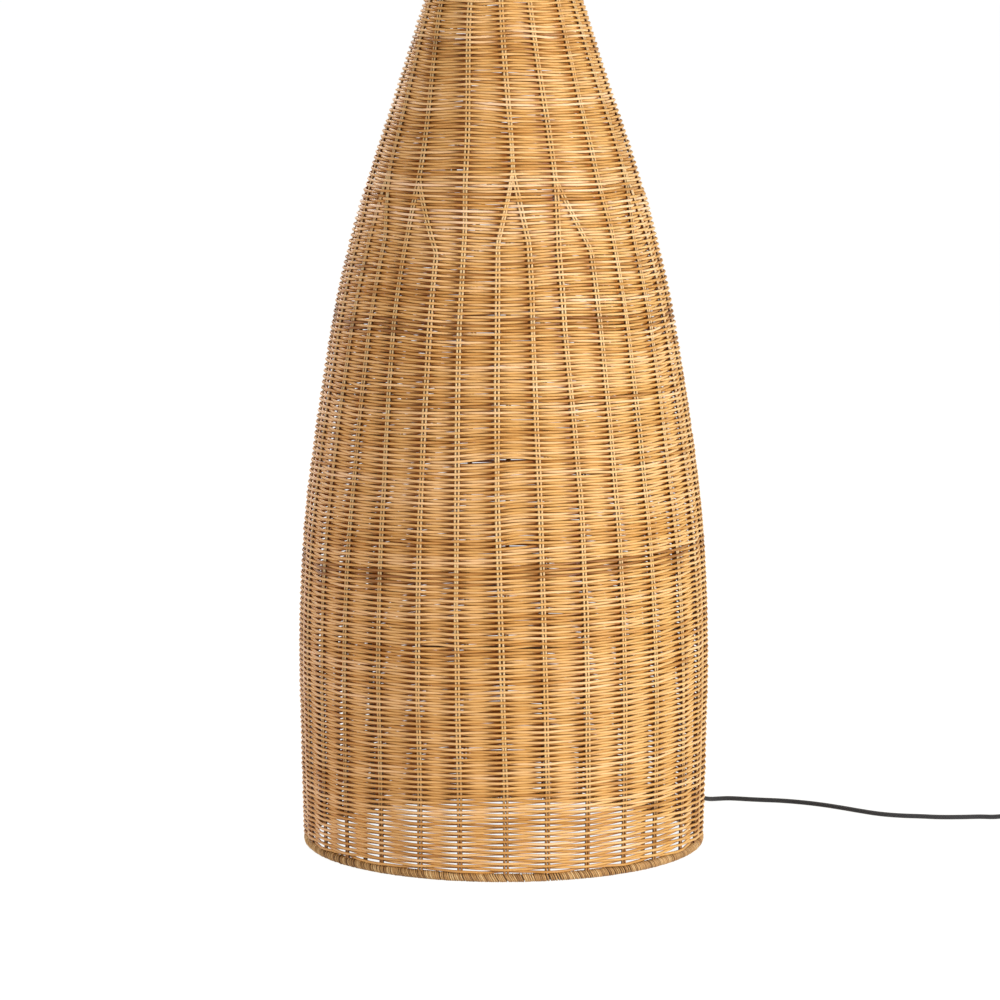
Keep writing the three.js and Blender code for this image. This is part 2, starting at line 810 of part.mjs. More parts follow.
// A tube of flat sections set square to an unbroken line of points
function windingTube(line, radius, sides, firstWay, lastWay) {
  const positions = [];
  const index = [];
  const up = new THREE.Vector3(0, 0, 1);
  line.forEach((point, i) => {
    const before = line[Math.max(i - 1, 0)];
    const after = line[Math.min(i + 1, line.length - 1)];
    let way = after.clone().sub(before).normalize();
    if (i === 0) way = firstWay;
    if (i === line.length - 1) way = lastWay;
    const side = way.clone().cross(up).normalize();
    const above = side.clone().cross(way);
    for (let k = 0; k < sides; k += 1) {
      const angle = (2 * Math.PI * k) / sides;
      const corner = point.clone()
        .addScaledVector(side, radius * Math.cos(angle))
        .addScaledVector(above, radius * Math.sin(angle));
      positions.push(...corner.toArray());
    }
  });
  for (let i = 0; i < line.length - 1; i += 1) {
    for (let k = 0; k < sides; k += 1) {
      const a = i * sides + k;
      const b = i * sides + ((k + 1) % sides);
      index.push(a, a + sides, b, b, a + sides, b + sides);
    }
  }
  const end = (line.length - 1) * sides;
  for (let k = 1; k < sides - 1; k += 1) {
    index.push(0, k, k + 1, end, end + k + 1, end + k);
  }
  const geometry = new THREE.BufferGeometry();
  geometry.setAttribute('position', new THREE.Float32BufferAttribute(positions, 3));
  geometry.setIndex(index);
  return geometry;
}

// The least gap between turns that are not neighbours along the line
function leastGap(line, radius, skip) {
  let least = Infinity;
  for (let i = 0; i < line.length; i += 1) {
    for (let j = i + skip; j < line.length; j += 1) {
      least = Math.min(least, line[i].distanceTo(line[j]));
    }
  }
  return least - 2 * radius;
}

function coilTie() {
  const columns = coilPitch * (coilTurnsPerLayer - 1);
  const middle = coilOuterRadius - coilPitch * 0.75 - columns / 2;
  const width = columns + 2 * (cordRadius + coilTieSlack);
  const height = coilPitch + 2 * (cordRadius + seatGap);
  const centreHeight = coilFloor + coilPitch / 2;
  const outside = new THREE.BoxGeometry(width + 2 * coilTieWall, coilTieWidth, height + 2 * coilTieWall);
  const inside = new THREE.BoxGeometry(width, coilTieWidth + overrun, height);
  return cut(outside, inside).translate(coilCentre.x - middle, coilCentre.y, centreHeight);
}

// Plug, with its front face at x = 0 and its pins towards -X
const plugAxisHeight = floorClearance + plugThickness / 2;

function plugBody() {
  const half = plugWidth / 2;
  const heel = plugHeel / 2;
  const shape = new THREE.Shape();
  shape.moveTo(0, -half + plugCorner);
  shape.quadraticCurveTo(0, -half, plugCorner, -half);
  shape.lineTo(plugShoulder, -half);
  shape.lineTo(plugLength - plugCorner, -heel);
  shape.lineTo(plugLength, -heel + plugCorner);
  shape.lineTo(plugLength, heel - plugCorner);
  shape.lineTo(plugLength - plugCorner, heel);
  shape.lineTo(plugShoulder, half);
  shape.lineTo(plugCorner, half);
  shape.quadraticCurveTo(0, half, 0, half - plugCorner);
  return prism(shape, -plugThickness / 2, plugThickness / 2);
}

function plugPin() {
  return turned([[0, 0], [pinRadius, 0], [pinRadius, pinLength - pinTip],
    [pinRadius / 2, pinLength], [0, pinLength]], rodSides);
}

// The lamp, put together from the floor up
const lamp = new THREE.Group();

part(lamp, 'base_hoop', sectionRing(baseHoopRadius, windingRest, rimHoopRadius, wireSides, bodySteps),
  steelFinish);
part(lamp, 'base_rim_wrap', rimWinding(baseHoopRadius, windingRest, bodySteps), windingFinish);
part(lamp, 'woven_body', wovenBody(), caneFinish);
for (let i = 0; i < ribCount; i += 1) {
  part(lamp, `rib_${i + 1}`, rib(ribAngle(i)), steelFinish);
}
part(lamp, 'lower_hoop', innerHoop(lowerHoopHeight, hoopSteps), steelFinish);
part(lamp, 'middle_hoop', innerHoop(middleHoopHeight, hoopSteps), steelFinish);
part(lamp, 'upper_hoop', innerHoop(upperHoopHeight, neckSteps), steelFinish);

part(lamp, 'top_hoop', sectionRing(neckHoopRadius, neckHoopHeight, rimHoopRadius, wireSides, neckSteps),
  steelFinish);
part(lamp, 'neck_rim_wrap', rimWinding(neckHoopRadius, neckHoopHeight, neckSteps), windingFinish);
part(lamp, 'neck_plate', turnedLoop(tubeShape(plateRadius, tubeHole, plateBottom, plateTop), neckSteps),
  steelFinish);
part(lamp, 'lower_nut', hexNut(plateBottom - seatGap - nutHeight, nutHeight), zincFinish);
part(lamp, 'lock_nut', hexNut(plateTop + seatGap, lockNutHeight), zincFinish);
part(lamp, 'neck_cap', neckCap(), blackMetalFinish);
part(lamp, 'threaded_tube', turnedLoop(tubeShape(tubeRadius, tubeBore, tubeBottom, tubeTop), turnedSteps),
  zincFinish);
part(lamp, 'stem_sleeve',
  turnedLoop(tubeShape(stemRadius, tubeHole, stemBottom, stemBottom + stemHeight), turnedSteps),
  blackMetalFinish);

const holder = group(lamp, 0, 0, holderBottom);
part(holder, 'holder_cap', holderCap(), holderFinish);
part(holder, 'holder_skirt', holderSkirt(), holderFinish);
part(holder, 'holder_insert', holderInsert(), ceramicFinish);
part(holder, 'thread_shell', threadShell(), brassFinish);
part(holder, 'centre_contact', centreContact(), brassFinish);
part(holder, 'shade_ring_nut', shadeRingNut(), holderFinish);
part(holder, 'bulb_tip', bulbTip(), brassFinish);
part(holder, 'bulb_cap', bulbCap(), zincFinish);
part(holder, 'bulb_glass', bulbGlass(), glassFinish);

const shade = group(lamp, 0, 0, 0);
part(shade, 'shade_linen', shadeWall(0, linenThickness), linenFinish);
part(shade, 'shade_liner', shadeWall(linerInset, linerThickness), linerFinish);
part(shade, 'shade_bottom_ring', shadeRing(bottomWireHeight), whiteWireFinish);
part(shade, 'shade_top_ring', shadeRing(topWireHeight), whiteWireFinish);
part(shade, 'shade_centre_ring', centreRing(), whiteWireFinish);
for (let i = 0; i < armCount; i += 1) {
  part(shade, `spider_arm_${i + 1}`, spiderArm(firstArmAngle + (360 * i) / armCount), whiteWireFinish);
}

part(lamp, 'inner_lead', cordAlong(leadPoints()), cordFinish);
clipHeights.forEach((height, i) => {
  const [clip, ring] = leadClip(height);
  lamp.add(clip);
  part(clip, `lead_clip_${i + 1}`, ring, plasticFinish);
});

const gland = new THREE.Group();
gland.position.set(0, 0, glandHeight);
gland.rotation.set(0, Math.PI / 2, THREE.MathUtils.degToRad(glandAngle), 'ZYX');
lamp.add(gland);
part(gland, 'cord_gland', cordGland(), plasticFinish);
part(gland, 'gland_nut', glandNut(), plasticFinish);

const footSwitch = group(lamp, switchPlace.x, switchPlace.y, switchPlace.z);
part(footSwitch, 'switch_base', switchBase(), plasticFinish);
part(footSwitch, 'switch_cover', switchCover(), plasticFinish);
part(footSwitch, 'switch_button', switchButton(), plasticFinish);
part(footSwitch, 'switch_block', switchBlock(), ceramicFinish);
const switchEnd = switchLength / 2 + seatGap;
const entry = part(footSwitch, 'switch_relief_in', relief(reliefRoot, reliefLength), plasticFinish);
entry.position.set(-switchEnd, 0, switchEntryHeight);
entry.rotation.y = -Math.PI / 2;
const leaving = part(footSwitch, 'switch_relief_out', relief(reliefRoot, reliefLength), plasticFinish);
leaving.position.set(switchEnd, 0, switchEntryHeight);
leaving.rotation.y = Math.PI / 2;

const coil = coilLine();
console.log(`least gap of the coil to itself: ${leastGap(coil, cordRadius, coilSteps / 2).toFixed(2)} mm`);
const rightward = new THREE.Vector3(1, 0, 0);
const leftward = new THREE.Vector3(-1, 0, 0);
part(lamp, 'cord_coil', windingTube(coil, cordRadius, coilSides, rightward, leftward), cordFinish);
part(lamp, 'coil_tie', coilTie(), plasticFinish);

const coilEnd = coil[coil.length - 1];
const plugReliefEnd = coilEnd.x - seatGap - plugLead;
const plug = group(lamp, plugReliefEnd - plugReliefLength - seatGap - plugLength, coilEnd.y, plugAxisHeight);
part(plug, 'plug_body', plugBody(), plasticFinish);
const plugRelief = part(plug, 'plug_relief', relief(plugReliefRoot, plugReliefLength), plasticFinish);
plugRelief.position.x = plugLength + seatGap;
plugRelief.rotation.y = Math.PI / 2;
[-1, 1].forEach((side, i) => {
  const pin = part(plug, `plug_pin_${i + 1}`, plugPin(), zincFinish);
  pin.position.set(-seatGap, (side * pinSpacing) / 2, 0);
  pin.rotation.y = -Math.PI / 2;
});

function routeBetween(first, route, last) {
  return [first, ...route.map((point) => new THREE.Vector3(...point)), last];
}

const glandExit = around(glandTip + seatGap, glandAngle, glandHeight);
const switchAxis = new THREE.Vector3(switchPlace.x, switchPlace.y, switchEntryHeight);
const reliefReach = switchEnd + reliefLength + seatGap;
const switchIn = switchAxis.clone().setX(switchAxis.x - reliefReach);
const switchOut = switchAxis.clone().setX(switchAxis.x + reliefReach);
const coilStart = coil[0].clone().setX(coil[0].x - seatGap);
const coilLeave = coilEnd.clone().setX(coilEnd.x - seatGap);
const plugExit = new THREE.Vector3(plugReliefEnd + seatGap, coilEnd.y, plugAxisHeight);
part(lamp, 'cord_to_switch', cordAlong(routeBetween(glandExit, switchRoute, switchIn)), cordFinish);
part(lamp, 'cord_to_coil', cordAlong(routeBetween(switchOut, coilRoute, coilStart)), cordFinish);
part(lamp, 'cord_to_plug', cordAlong(routeBetween(coilLeave, plugRoute, plugExit)), cordFinish);

export default lamp;
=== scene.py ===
"""Rattan floor lamp: the looks of its woven body, rims, neck, shade, cord, switch and plug.

Metres, +Z up, the origin on the floor under the lamp's axis, -Y towards the viewer.
"""

import math

import bmesh
import bpy
import numpy as np
from mathutils import Matrix, Vector


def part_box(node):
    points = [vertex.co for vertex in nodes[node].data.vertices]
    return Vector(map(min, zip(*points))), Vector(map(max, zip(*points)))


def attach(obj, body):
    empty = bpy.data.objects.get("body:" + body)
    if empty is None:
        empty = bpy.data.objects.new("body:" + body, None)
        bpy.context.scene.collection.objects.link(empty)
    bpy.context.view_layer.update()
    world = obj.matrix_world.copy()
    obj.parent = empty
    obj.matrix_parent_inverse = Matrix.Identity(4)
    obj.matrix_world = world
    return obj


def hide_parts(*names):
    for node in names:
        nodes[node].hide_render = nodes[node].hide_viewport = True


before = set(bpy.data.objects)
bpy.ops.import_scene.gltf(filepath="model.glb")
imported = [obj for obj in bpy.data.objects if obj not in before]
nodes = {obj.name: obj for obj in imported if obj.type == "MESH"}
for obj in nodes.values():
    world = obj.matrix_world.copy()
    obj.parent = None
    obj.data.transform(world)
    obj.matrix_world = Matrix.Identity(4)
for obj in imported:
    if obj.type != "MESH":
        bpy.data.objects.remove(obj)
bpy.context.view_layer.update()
chance = np.random.default_rng(41)


def link(piece):
    bpy.context.scene.collection.objects.link(piece)
    return piece


# Camera at the photograph's height and pitch, with its focal length on a 36 mm sensor
CAMERA_PLACE = (-0.0042, -4.8245, 1.0556)
CAMERA_DIP = 0.1397
CAMERA_LENS = 160.7


def place_camera():
    data = bpy.data.cameras.new("front_view")
    data.sensor_width = 36
    data.lens = CAMERA_LENS
    data.clip_end = 60
    camera = link(bpy.data.objects.new("front_view", data))
    camera.location = CAMERA_PLACE
    camera.rotation_euler = (math.radians(90) - CAMERA_DIP, 0, 0)
    bpy.context.scene.camera = camera


place_camera()


# Shader maths as Python expressions
def operator(kind):
    """A method that hands a value, and what it is given, to one maths node."""
    return lambda value, *others: value.maths(kind, *others)


class Value:
    """One number of a shader, with the operators that the finishes use."""

    __add__ = __radd__ = operator("ADD")
    __sub__ = operator("SUBTRACT")
    __mul__ = __rmul__ = operator("MULTIPLY")
    __pow__ = operator("POWER")
    sine = operator("SINE")
    size = operator("ABSOLUTE")

    def __init__(self, finish, socket):
        self.finish = finish
        self.socket = socket

    def __rsub__(self, other):
        return (self * -1) + other

    def maths(self, operation, *others, clamp=False):
        made = self.finish.add("ShaderNodeMath", {"operation": operation, "use_clamp": clamp},
                               dict(enumerate((self,) + others)))
        return made.value(0)

    def held(self):
        """Kept between 0 and 1."""
        return self.maths("ADD", 0, clamp=True)

    def above(self, low, high):
        """0 below low, 1 above high and even between."""
        return self.maths("SUBTRACT", low).maths("DIVIDE", high - low, clamp=True)

    def ripple(self, spacing):
        """0 at every spacing and 1 halfway between."""
        return (self * (math.pi / spacing)).sine().size()


class Node:
    """A node of a finish, read by output."""

    def __init__(self, finish, node):
        self.finish = finish
        self.node = node

    def value(self, output):
        return Value(self.finish, self.node.outputs[output])


class Finish:
    """A material whose surface is one Principled shader."""

    def __init__(self, name, **constants):
        self.material = bpy.data.materials.new(name)
        self.material.use_nodes = True
        self.tree = self.material.node_tree
        self.surface = self.tree.nodes["Principled BSDF"]
        for socket, number in constants.items():
            self.feed(socket.replace("_", " "), number)

    def add(self, kind, settings=None, inputs=None):
        node = self.tree.nodes.new(kind)
        for name, setting in (settings or {}).items():
            if name == "stops":
                ramp = node.color_ramp
                while len(ramp.elements) < len(setting):
                    ramp.elements.new(0.5)
                for element, (place, colour) in zip(ramp.elements, setting):
                    element.position = place
                    element.color = colour
            else:
                setattr(node, name, setting)
        for name, given in (inputs or {}).items():
            self.link(node.inputs[name], given)
        return Node(self, node)

    def link(self, socket, given):
        if isinstance(given, Value):
            self.tree.links.new(given.socket, socket)
        else:
            socket.default_value = given

    def feed(self, socket, given):
        self.link(self.surface.inputs[socket], given)

    def place(self):
        return self.add("ShaderNodeTexCoord").value("Object")

    def along(self):
        return self.add("ShaderNodeTexCoord").value("UV")

    def parts(self, vector):
        split = self.add("ShaderNodeSeparateXYZ", None, {"Vector": vector})
        return split.value("X"), split.value("Y"), split.value("Z")

    def round_axis(self):
        """The angle from the front, and the place it is taken from."""
        x, y, z = self.parts(self.place())
        return x.maths("ARCTAN2", y * -1), x, y, z

    def vector(self, x, y, z):
        return self.add("ShaderNodeCombineXYZ", None, {"X": x, "Y": y, "Z": z}).value("Vector")

    def scaled(self, vector, scale):
        settings = {"vector_type": "POINT"}
        return self.add("ShaderNodeMapping", settings, {"Vector": vector, "Scale": scale}).value("Vector")

    def noise(self, vector, scale, detail=2.0, roughness=0.5):
        return self.add("ShaderNodeTexNoise", {"noise_dimensions": "3D"}, {
            "Vector": vector, "Scale": scale, "Detail": detail, "Roughness": roughness}).value("Fac")

    def attribute(self, name):
        settings = {"attribute_type": "GEOMETRY", "attribute_name": name}
        return self.add("ShaderNodeAttribute", settings).value("Fac")

    def blend(self, kind, share, first, second):
        settings = {"data_type": "RGBA", "blend_type": kind}
        return self.add("ShaderNodeMix", settings, {0: share, 6: first, 7: second}).value(2)

    def mix(self, share, first, second):
        return self.blend("MIX", share, first, second)

    def stained(self, colour, share, stain):
        """A colour multiplied by another where share is 1."""
        return self.blend("MULTIPLY", share, colour, stain)

    def times(self, colour, share):
        """A colour made darker or lighter by a number."""
        return self.stained(colour, 1.0, self.vector(share, share, share))

    def ramp(self, share, stops):
        return self.add("ShaderNodeValToRGB", {"stops": stops}, {"Fac": share}).value("Color")

    def bump(self, height, distance, strength=1.0):
        bump = self.add("ShaderNodeBump", None, {
            "Height": height, "Distance": distance, "Strength": strength})
        self.feed("Normal", bump.value("Normal"))


def tone(red, green, blue):
    """A colour written as it looks, on 0 to 255."""
    def straight(level):
        share = level / 255
        return share / 12.92 if share <= 0.04045 else ((share + 0.055) / 1.055) ** 2.4
    return (straight(red), straight(green), straight(blue), 1.0)


def bind(piece, body, slot, *replaced):
    """Fixes a piece to its body and hides the solids that it stands for. The slot is not used."""
    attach(piece, body)
    if replaced:
        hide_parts(*replaced)
    return piece


def eased(share):
    """A share from 0 to 1 that starts and ends slowly."""
    return share * share * (3 - 2 * share)


def from_table(table, place):
    """Reads a table of places and values, evenly between them."""
    return np.interp(place, *np.array(table, float).T)


# Route of the free cord, as it lies on the floor
CORD_RADIUS = 0.0026
BRAID_THREAD = 0.0021
BRAID_ROUND = 5
GLAND_EXIT = (0.1918, 0.161, 0.022)
SWITCH_AXIS = (0.6456, 0.101, 0.0092)
SWITCH_REACH = 0.0596
COIL_CENTRE = (0.74, 0.0614)
COIL_RADIUS = 0.0396
COIL_PITCH = 0.0057
COIL_FLOOR = 0.0038
COIL_LAYER = 3
COIL_TURNS = 2 * COIL_LAYER + 0.5
COIL_STEPS = 156
SWITCH_ROUTE = [
    (0.1956, 0.1641, 0.022), (0.2005, 0.1682, 0.0212), (0.208, 0.1743, 0.018), (0.217, 0.1815, 0.0125),
    (0.226, 0.1887, 0.007), (0.2355, 0.1957, 0.0037), (0.246, 0.2016, 0.0027), (0.257, 0.2038, 0.0027),
    (0.268, 0.2022, 0.0027), (0.28, 0.1988, 0.0027), (0.296, 0.195, 0.0027), (0.317, 0.1905, 0.0027),
    (0.339, 0.182, 0.0027), (0.361, 0.1695, 0.0027), (0.383, 0.1525, 0.0027), (0.404, 0.134, 0.0027),
    (0.425, 0.118, 0.0027), (0.447, 0.109, 0.0027), (0.469, 0.105, 0.0027), (0.491, 0.1008, 0.0027),
    (0.514, 0.101, 0.0027), (0.536, 0.103, 0.0027), (0.554, 0.102, 0.0028), (0.566, 0.101, 0.0046),
    (0.575, 0.101, 0.0074), (0.5815, 0.101, 0.0091),
]
COIL_ROUTE = [
    (0.709, 0.101, 0.0091), (0.716, 0.101, 0.0076), (0.724, 0.101, 0.0051), (0.7305, 0.101, 0.0039),
]
PLUG_ROUTE = [
    (0.73, 0.0218, 0.0094), (0.722, 0.0218, 0.0089), (0.706, 0.0218, 0.0075), (0.6975, 0.0218, 0.007),
]
PLUG_EXIT = (0.6932, 0.0218, 0.007)


def coil_point(turn):
    """A point of the coil, which winds inward on the floor, climbs and winds out again."""
    middle = COIL_LAYER + 0.25
    radius = COIL_RADIUS - COIL_PITCH * middle + COIL_PITCH * abs(turn - middle)
    climb = min(max((turn - COIL_LAYER) / 0.5, 0), 1)
    angle = math.pi / 2 - 2 * math.pi * turn
    return (COIL_CENTRE[0] + radius * math.cos(angle), COIL_CENTRE[1] + radius * math.sin(angle),
            COIL_FLOOR + COIL_PITCH * eased(climb))


def braid_finish(name, length):
    """Braided textile sleeve, with its threads crossing as they go round the cord."""
    finish = Finish(name, Roughness=0.78, Sheen_Weight=0.25, Sheen_Roughness=0.5, Specular_IOR_Level=0.3)
    across, way, _ = finish.parts(finish.along())
    run = across * (length / BRAID_THREAD)
    turn = way * BRAID_ROUND
    thread = (run + turn).ripple(1).maths("MAXIMUM", (run - turn).ripple(1))
    speck = finish.noise(finish.place(), 900.0, 2.0)
    level = thread.above(0.55, 1.0) * 0.8 + speck * 0.35
    finish.feed("Base Color", finish.mix(level.held(), tone(20, 20, 21), tone(56, 56, 58)))
    finish.bump(thread, 0.0003, 0.8)
    return finish


def lay_cord(name, points, braid, *replaced):
    """A braided cord on one smooth curve through points, and its length."""
    length = sum((Vector(b) - Vector(a)).length for a, b in zip(points, points[1:]))
    data = bpy.data.curves.new(name, "CURVE")
    data.dimensions = "3D"
    data.bevel_depth = CORD_RADIUS
    data.bevel_resolution = 5
    data.resolution_u = 6
    data.use_fill_caps = True
    spline = data.splines.new("BEZIER")
    spline.bezier_points.add(len(points) - 1)
    for knot, point in zip(spline.bezier_points, points):
        knot.co = point
        knot.handle_left_type = "AUTO"
        knot.handle_right_type = "AUTO"
    data.materials.append(braid_finish(braid, length).material)
    return bind(link(bpy.data.objects.new(name, data)), "lamp", "cord", *replaced), length


def make_cords():
    coil = [coil_point(COIL_TURNS * i / COIL_STEPS) for i in range(COIL_STEPS + 1)]
    first = [GLAND_EXIT] + SWITCH_ROUTE + [(SWITCH_AXIS[0] - SWITCH_REACH,) + SWITCH_AXIS[1:]]
    start = (SWITCH_AXIS[0] + SWITCH_REACH,) + SWITCH_AXIS[1:]
    lead = Vector((2 * CORD_RADIUS, 0, 0))
    second = ([start] + COIL_ROUTE + [Vector(coil[0]) - lead] + coil + [Vector(coil[-1]) - lead]
              + PLUG_ROUTE + [PLUG_EXIT])
    cord, length = lay_cord("cord_to_switch_flex", first, "braid_first", "cord_to_switch")
    cord, length = lay_cord("cord_to_plug_flex", second, "braid_second",
                            "cord_to_coil", "cord_coil", "cord_to_plug")


make_cords()


# Outline of the woven body: share of its height, then share of its widest radius
BODY_HEIGHT = 1.066
BELLY_RADIUS = 0.2246
OUTLINE = [
    (0, 0.98), (0.06, 0.988), (0.12, 0.994), (0.19, 1), (0.27, 0.992), (0.35, 0.965), (0.43, 0.916),
    (0.5, 0.864), (0.57, 0.804), (0.64, 0.723), (0.71, 0.624), (0.78, 0.512), (0.85, 0.406),
    (0.9, 0.333), (0.95, 0.271), (1, 0.236),
]


def body_radius(height):
    """Outer radius of the weave at a height, or at an array of them."""
    shares = np.clip(np.asarray(height, float) / BODY_HEIGHT, 0, 1)
    places, values = np.array(OUTLINE, float).T
    steps = np.diff(values) / np.diff(places)
    slopes = np.empty(len(values))
    slopes[0], slopes[-1] = steps[0], steps[-1]
    slopes[1:-1] = (values[2:] - values[:-2]) / (places[2:] - places[:-2])
    k = np.clip(np.searchsorted(places, shares, side="right") - 1, 0, len(places) - 2)
    span = places[k + 1] - places[k]
    u = (shares - places[k]) / span
    found = (values[k] * (2 * u**3 - 3 * u**2 + 1) + slopes[k] * span * (u**3 - 2 * u**2 + u)
             + values[k + 1] * (3 * u**2 - 2 * u**3) + slopes[k + 1] * span * (u**3 - u**2))
    return BELLY_RADIUS * found


def body_slope(height, step=0.001):
    """How fast the body widens with height."""
    return (body_radius(height + step) - body_radius(height - step)) / (2 * step)


# Stake pairs: degrees to the right of the front, at four heights, for the 30 pairs below the splits
PAIR_COUNT = 30
PAIR_HEIGHTS = (0.0, 0.097, 0.411, 0.585)
PAIR_ANGLES = {
    26: (-62.6, -62.4, -61.8, -62.2), 27: (-50.9, -50.7, -49.8, -51.4), 28: (-37.0, -36.7, -37.3, -39.8),
    29: (-24.2, -24.0, -24.6, -25.5), 0: (-12.4, -12.4, -13.7, -15.0), 1: (0.6, 0.4, -2.0, -2.3),
    2: (12.3, 12.1, 10.2, 9.5), 3: (24.0, 23.9, 22.6, 20.5), 4: (36.0, 35.9, 34.3, 34.0),
    5: (48.0, 47.9, 45.7, 45.8), 6: (61.6, 61.8, 57.9, 58.7), 7: (73.6, 73.4, 70.8, 71.0),
}
SPLIT_HEIGHT = 0.742
SPLIT_SPREAD = 0.008
SPLIT_DROP = 0.075
# The 18 pairs above the splits, at the splits and near the neck
UPPER_COUNT = 18
UPPER_ANGLES = {0: -16.7, 1: 3.8, 2: 22.3, 3: 43.8, 4: 65.4, 17: -38.9, 16: -60.0}
NECK_ANGLES = {0: -28.1, 1: -4.2, 2: 18.1, 3: 44.1, 17: -57.7}
NECK_TURNED = 1.0


def ring_angles(count, front):
    """Degrees of all the pairs of a ring, with those behind spaced evenly between the ones in front."""
    known = sorted(front, key=lambda k: np.mean(front[k]))
    behind = [k for k in range(count) if k not in front]
    last, first = np.array(front[known[-1]], float), np.array(front[known[0]], float) + 360
    angles = np.zeros((count,) + last.shape)
    for k in known:
        angles[k] = np.array(front[k], float) + (360 if k >= count / 2 else 0)
    for i, k in enumerate(behind):
        angles[k] = last + (first - last) * (i + 1) / (len(behind) + 1)
    return angles


def pairs_below():
    """The pairs below each of the upper ones: of each three upper pairs, one goes on down and two part."""
    children = []
    below = 0
    for k in range(UPPER_COUNT):
        count = 1 if k % 3 == 0 else 2
        children.append(list(range(below, below + count)))
        below += count
    return children


LOWER = ring_angles(PAIR_COUNT, PAIR_ANGLES)
UPPER = ring_angles(UPPER_COUNT, UPPER_ANGLES)
NECK = ring_angles(UPPER_COUNT, NECK_ANGLES)
CHILDREN = pairs_below()
SPLITS = SPLIT_HEIGHT + chance.uniform(-SPLIT_SPREAD, SPLIT_SPREAD, UPPER_COUNT)


def upper_angle(k, height):
    """Degrees of an upper pair at a height, or at an array of them."""
    share = np.clip((np.asarray(height) - SPLIT_HEIGHT) / (NECK_TURNED - SPLIT_HEIGHT), 0, 1)
    return UPPER[k] + (NECK[k] - UPPER[k]) * eased(share)


def pair_angle(k, height):
    """Degrees of one of the 30 lower pairs at a height, or at an array of them."""
    height = np.asarray(height, float)
    own = np.interp(height, PAIR_HEIGHTS, LOWER[k])
    parent = next(i for i, below in enumerate(CHILDREN) if k in below)
    share = np.clip((height - (SPLITS[parent] - SPLIT_DROP)) / SPLIT_DROP, 0, 1)
    if len(CHILDREN[parent]) == 1:
        share = eased(share)
    return own + (upper_angle(parent, height) - own) * share


# Weavers: round canes that pass outside one pair of stakes and inside the next
CANE_RADIUS = 0.0015
CANE_DEPTH = 0.00134
SWING = 0.0028
HALF_WALL = 0.0041
# At 1 a cane swings evenly from pair to pair, and above it mostly close to the stakes
BEND = 1.7
# How much higher a cane lies behind the stakes than in front of them
BACK_RISE = 0.0004
# How far left of a stake pair, as a share of the way to the next one, a cane reaches farthest out or in
LEAN = 0.065
RIM_TOP = 0.00966
RIM_CLEARANCE = 0.0004
TOP_CLEARANCE = 0.0002
LAST_LOWER_ROW = 0.716
LOWER_BANDS = 4
LOWER_STEPS = 240
UPPER_BANDS = 2
UPPER_STEPS = 144
# Height, then the distance between two rows there
ROW_STEPS = [(0.0, 0.00287), (0.15, 0.00289), (0.42, 0.00292), (0.6, 0.00295), (0.72, 0.00284),
             (0.85, 0.00276), (1.1, 0.00274)]
# Height, then the degrees by which a row there rises to the right
SLOPE_HEIGHTS = [(0.0, 0.0), (0.03, 0.2), (0.1, 1.3), (0.2, 1.5), (0.4, 1.4), (0.5, 0.7), (0.56, 0.0),
                 (1.1, 0.0)]


def row_heights():
    heights = [RIM_TOP + CANE_RADIUS + RIM_CLEARANCE]
    top = BODY_HEIGHT - CANE_RADIUS - TOP_CLEARANCE
    while heights[-1] < top:
        heights.append(heights[-1] + from_table(ROW_STEPS, heights[-1]))
    heights = np.array(heights[:-1])
    return heights[0] + (heights - heights[0]) * (top - heights[0]) / (heights[-1] - heights[0])


ROWS = row_heights()


def wandering(rows, places, row_spread, place_spread):
    """Smooth random numbers on a ring for each row, with a mean square of 1."""
    field = chance.standard_normal((rows, places))
    wave = np.fft.rfftfreq(places, 1 / places)
    smoothed = np.fft.rfft(field, axis=1) * np.exp(-(wave / place_spread) ** 2 / 2)
    field = np.fft.irfft(smoothed, places, axis=1)
    if row_spread > 0:
        reach = int(3 * row_spread) + 1
        kernel = np.exp(-(np.arange(-reach, reach + 1) / row_spread) ** 2 / 2)
        padded = np.pad(field, ((reach, reach), (0, 0)), mode="reflect")
        field = sum(kernel[i] * padded[i:i + rows] for i in range(2 * reach + 1))
    return field / field.std()


RING_PLACES = 120
SLOW_DRIFT = wandering(len(ROWS), RING_PLACES, 9.0, 5.0) * 0.0009
QUICK_DRIFT = wandering(len(ROWS), RING_PLACES, 0.6, 16.0) * 0.00016
LOW_DRIFT = wandering(len(ROWS), RING_PLACES, 1.0, 12.0) * 0.00035
SWING_DRIFT = 1 + wandering(len(ROWS), RING_PLACES, 0.5, 9.0) * 0.07
# Places where the rows above stand off: degrees, height, half width in degrees, rise
PARTINGS = [
    (-3.0, 0.4445, 11.0, 0.0036), (5.0, 0.356, 6.0, 0.0028), (26.0, 0.4275, 6.0, 0.0012),
    (-18.3, 0.2515, 5.0, 0.0018), (7.4, 0.2502, 4.0, 0.0012), (-9.0, 0.5975, 11.0, 0.0012),
    (-28.5, 0.3612, 5.0, 0.001), (26.7, 0.5032, 6.0, 0.001), (-20.0, 0.7435, 6.0, 0.0012),
    (13.0, 0.2832, 4.0, 0.001), (-2.8, 0.1825, 4.0, 0.001), (150.0, 0.33, 12.0, 0.0014),
    (205.0, 0.52, 10.0, 0.0012), (250.0, 0.24, 14.0, 0.0011), (120.0, 0.62, 9.0, 0.001),
]
PARTING_REACH = 0.045
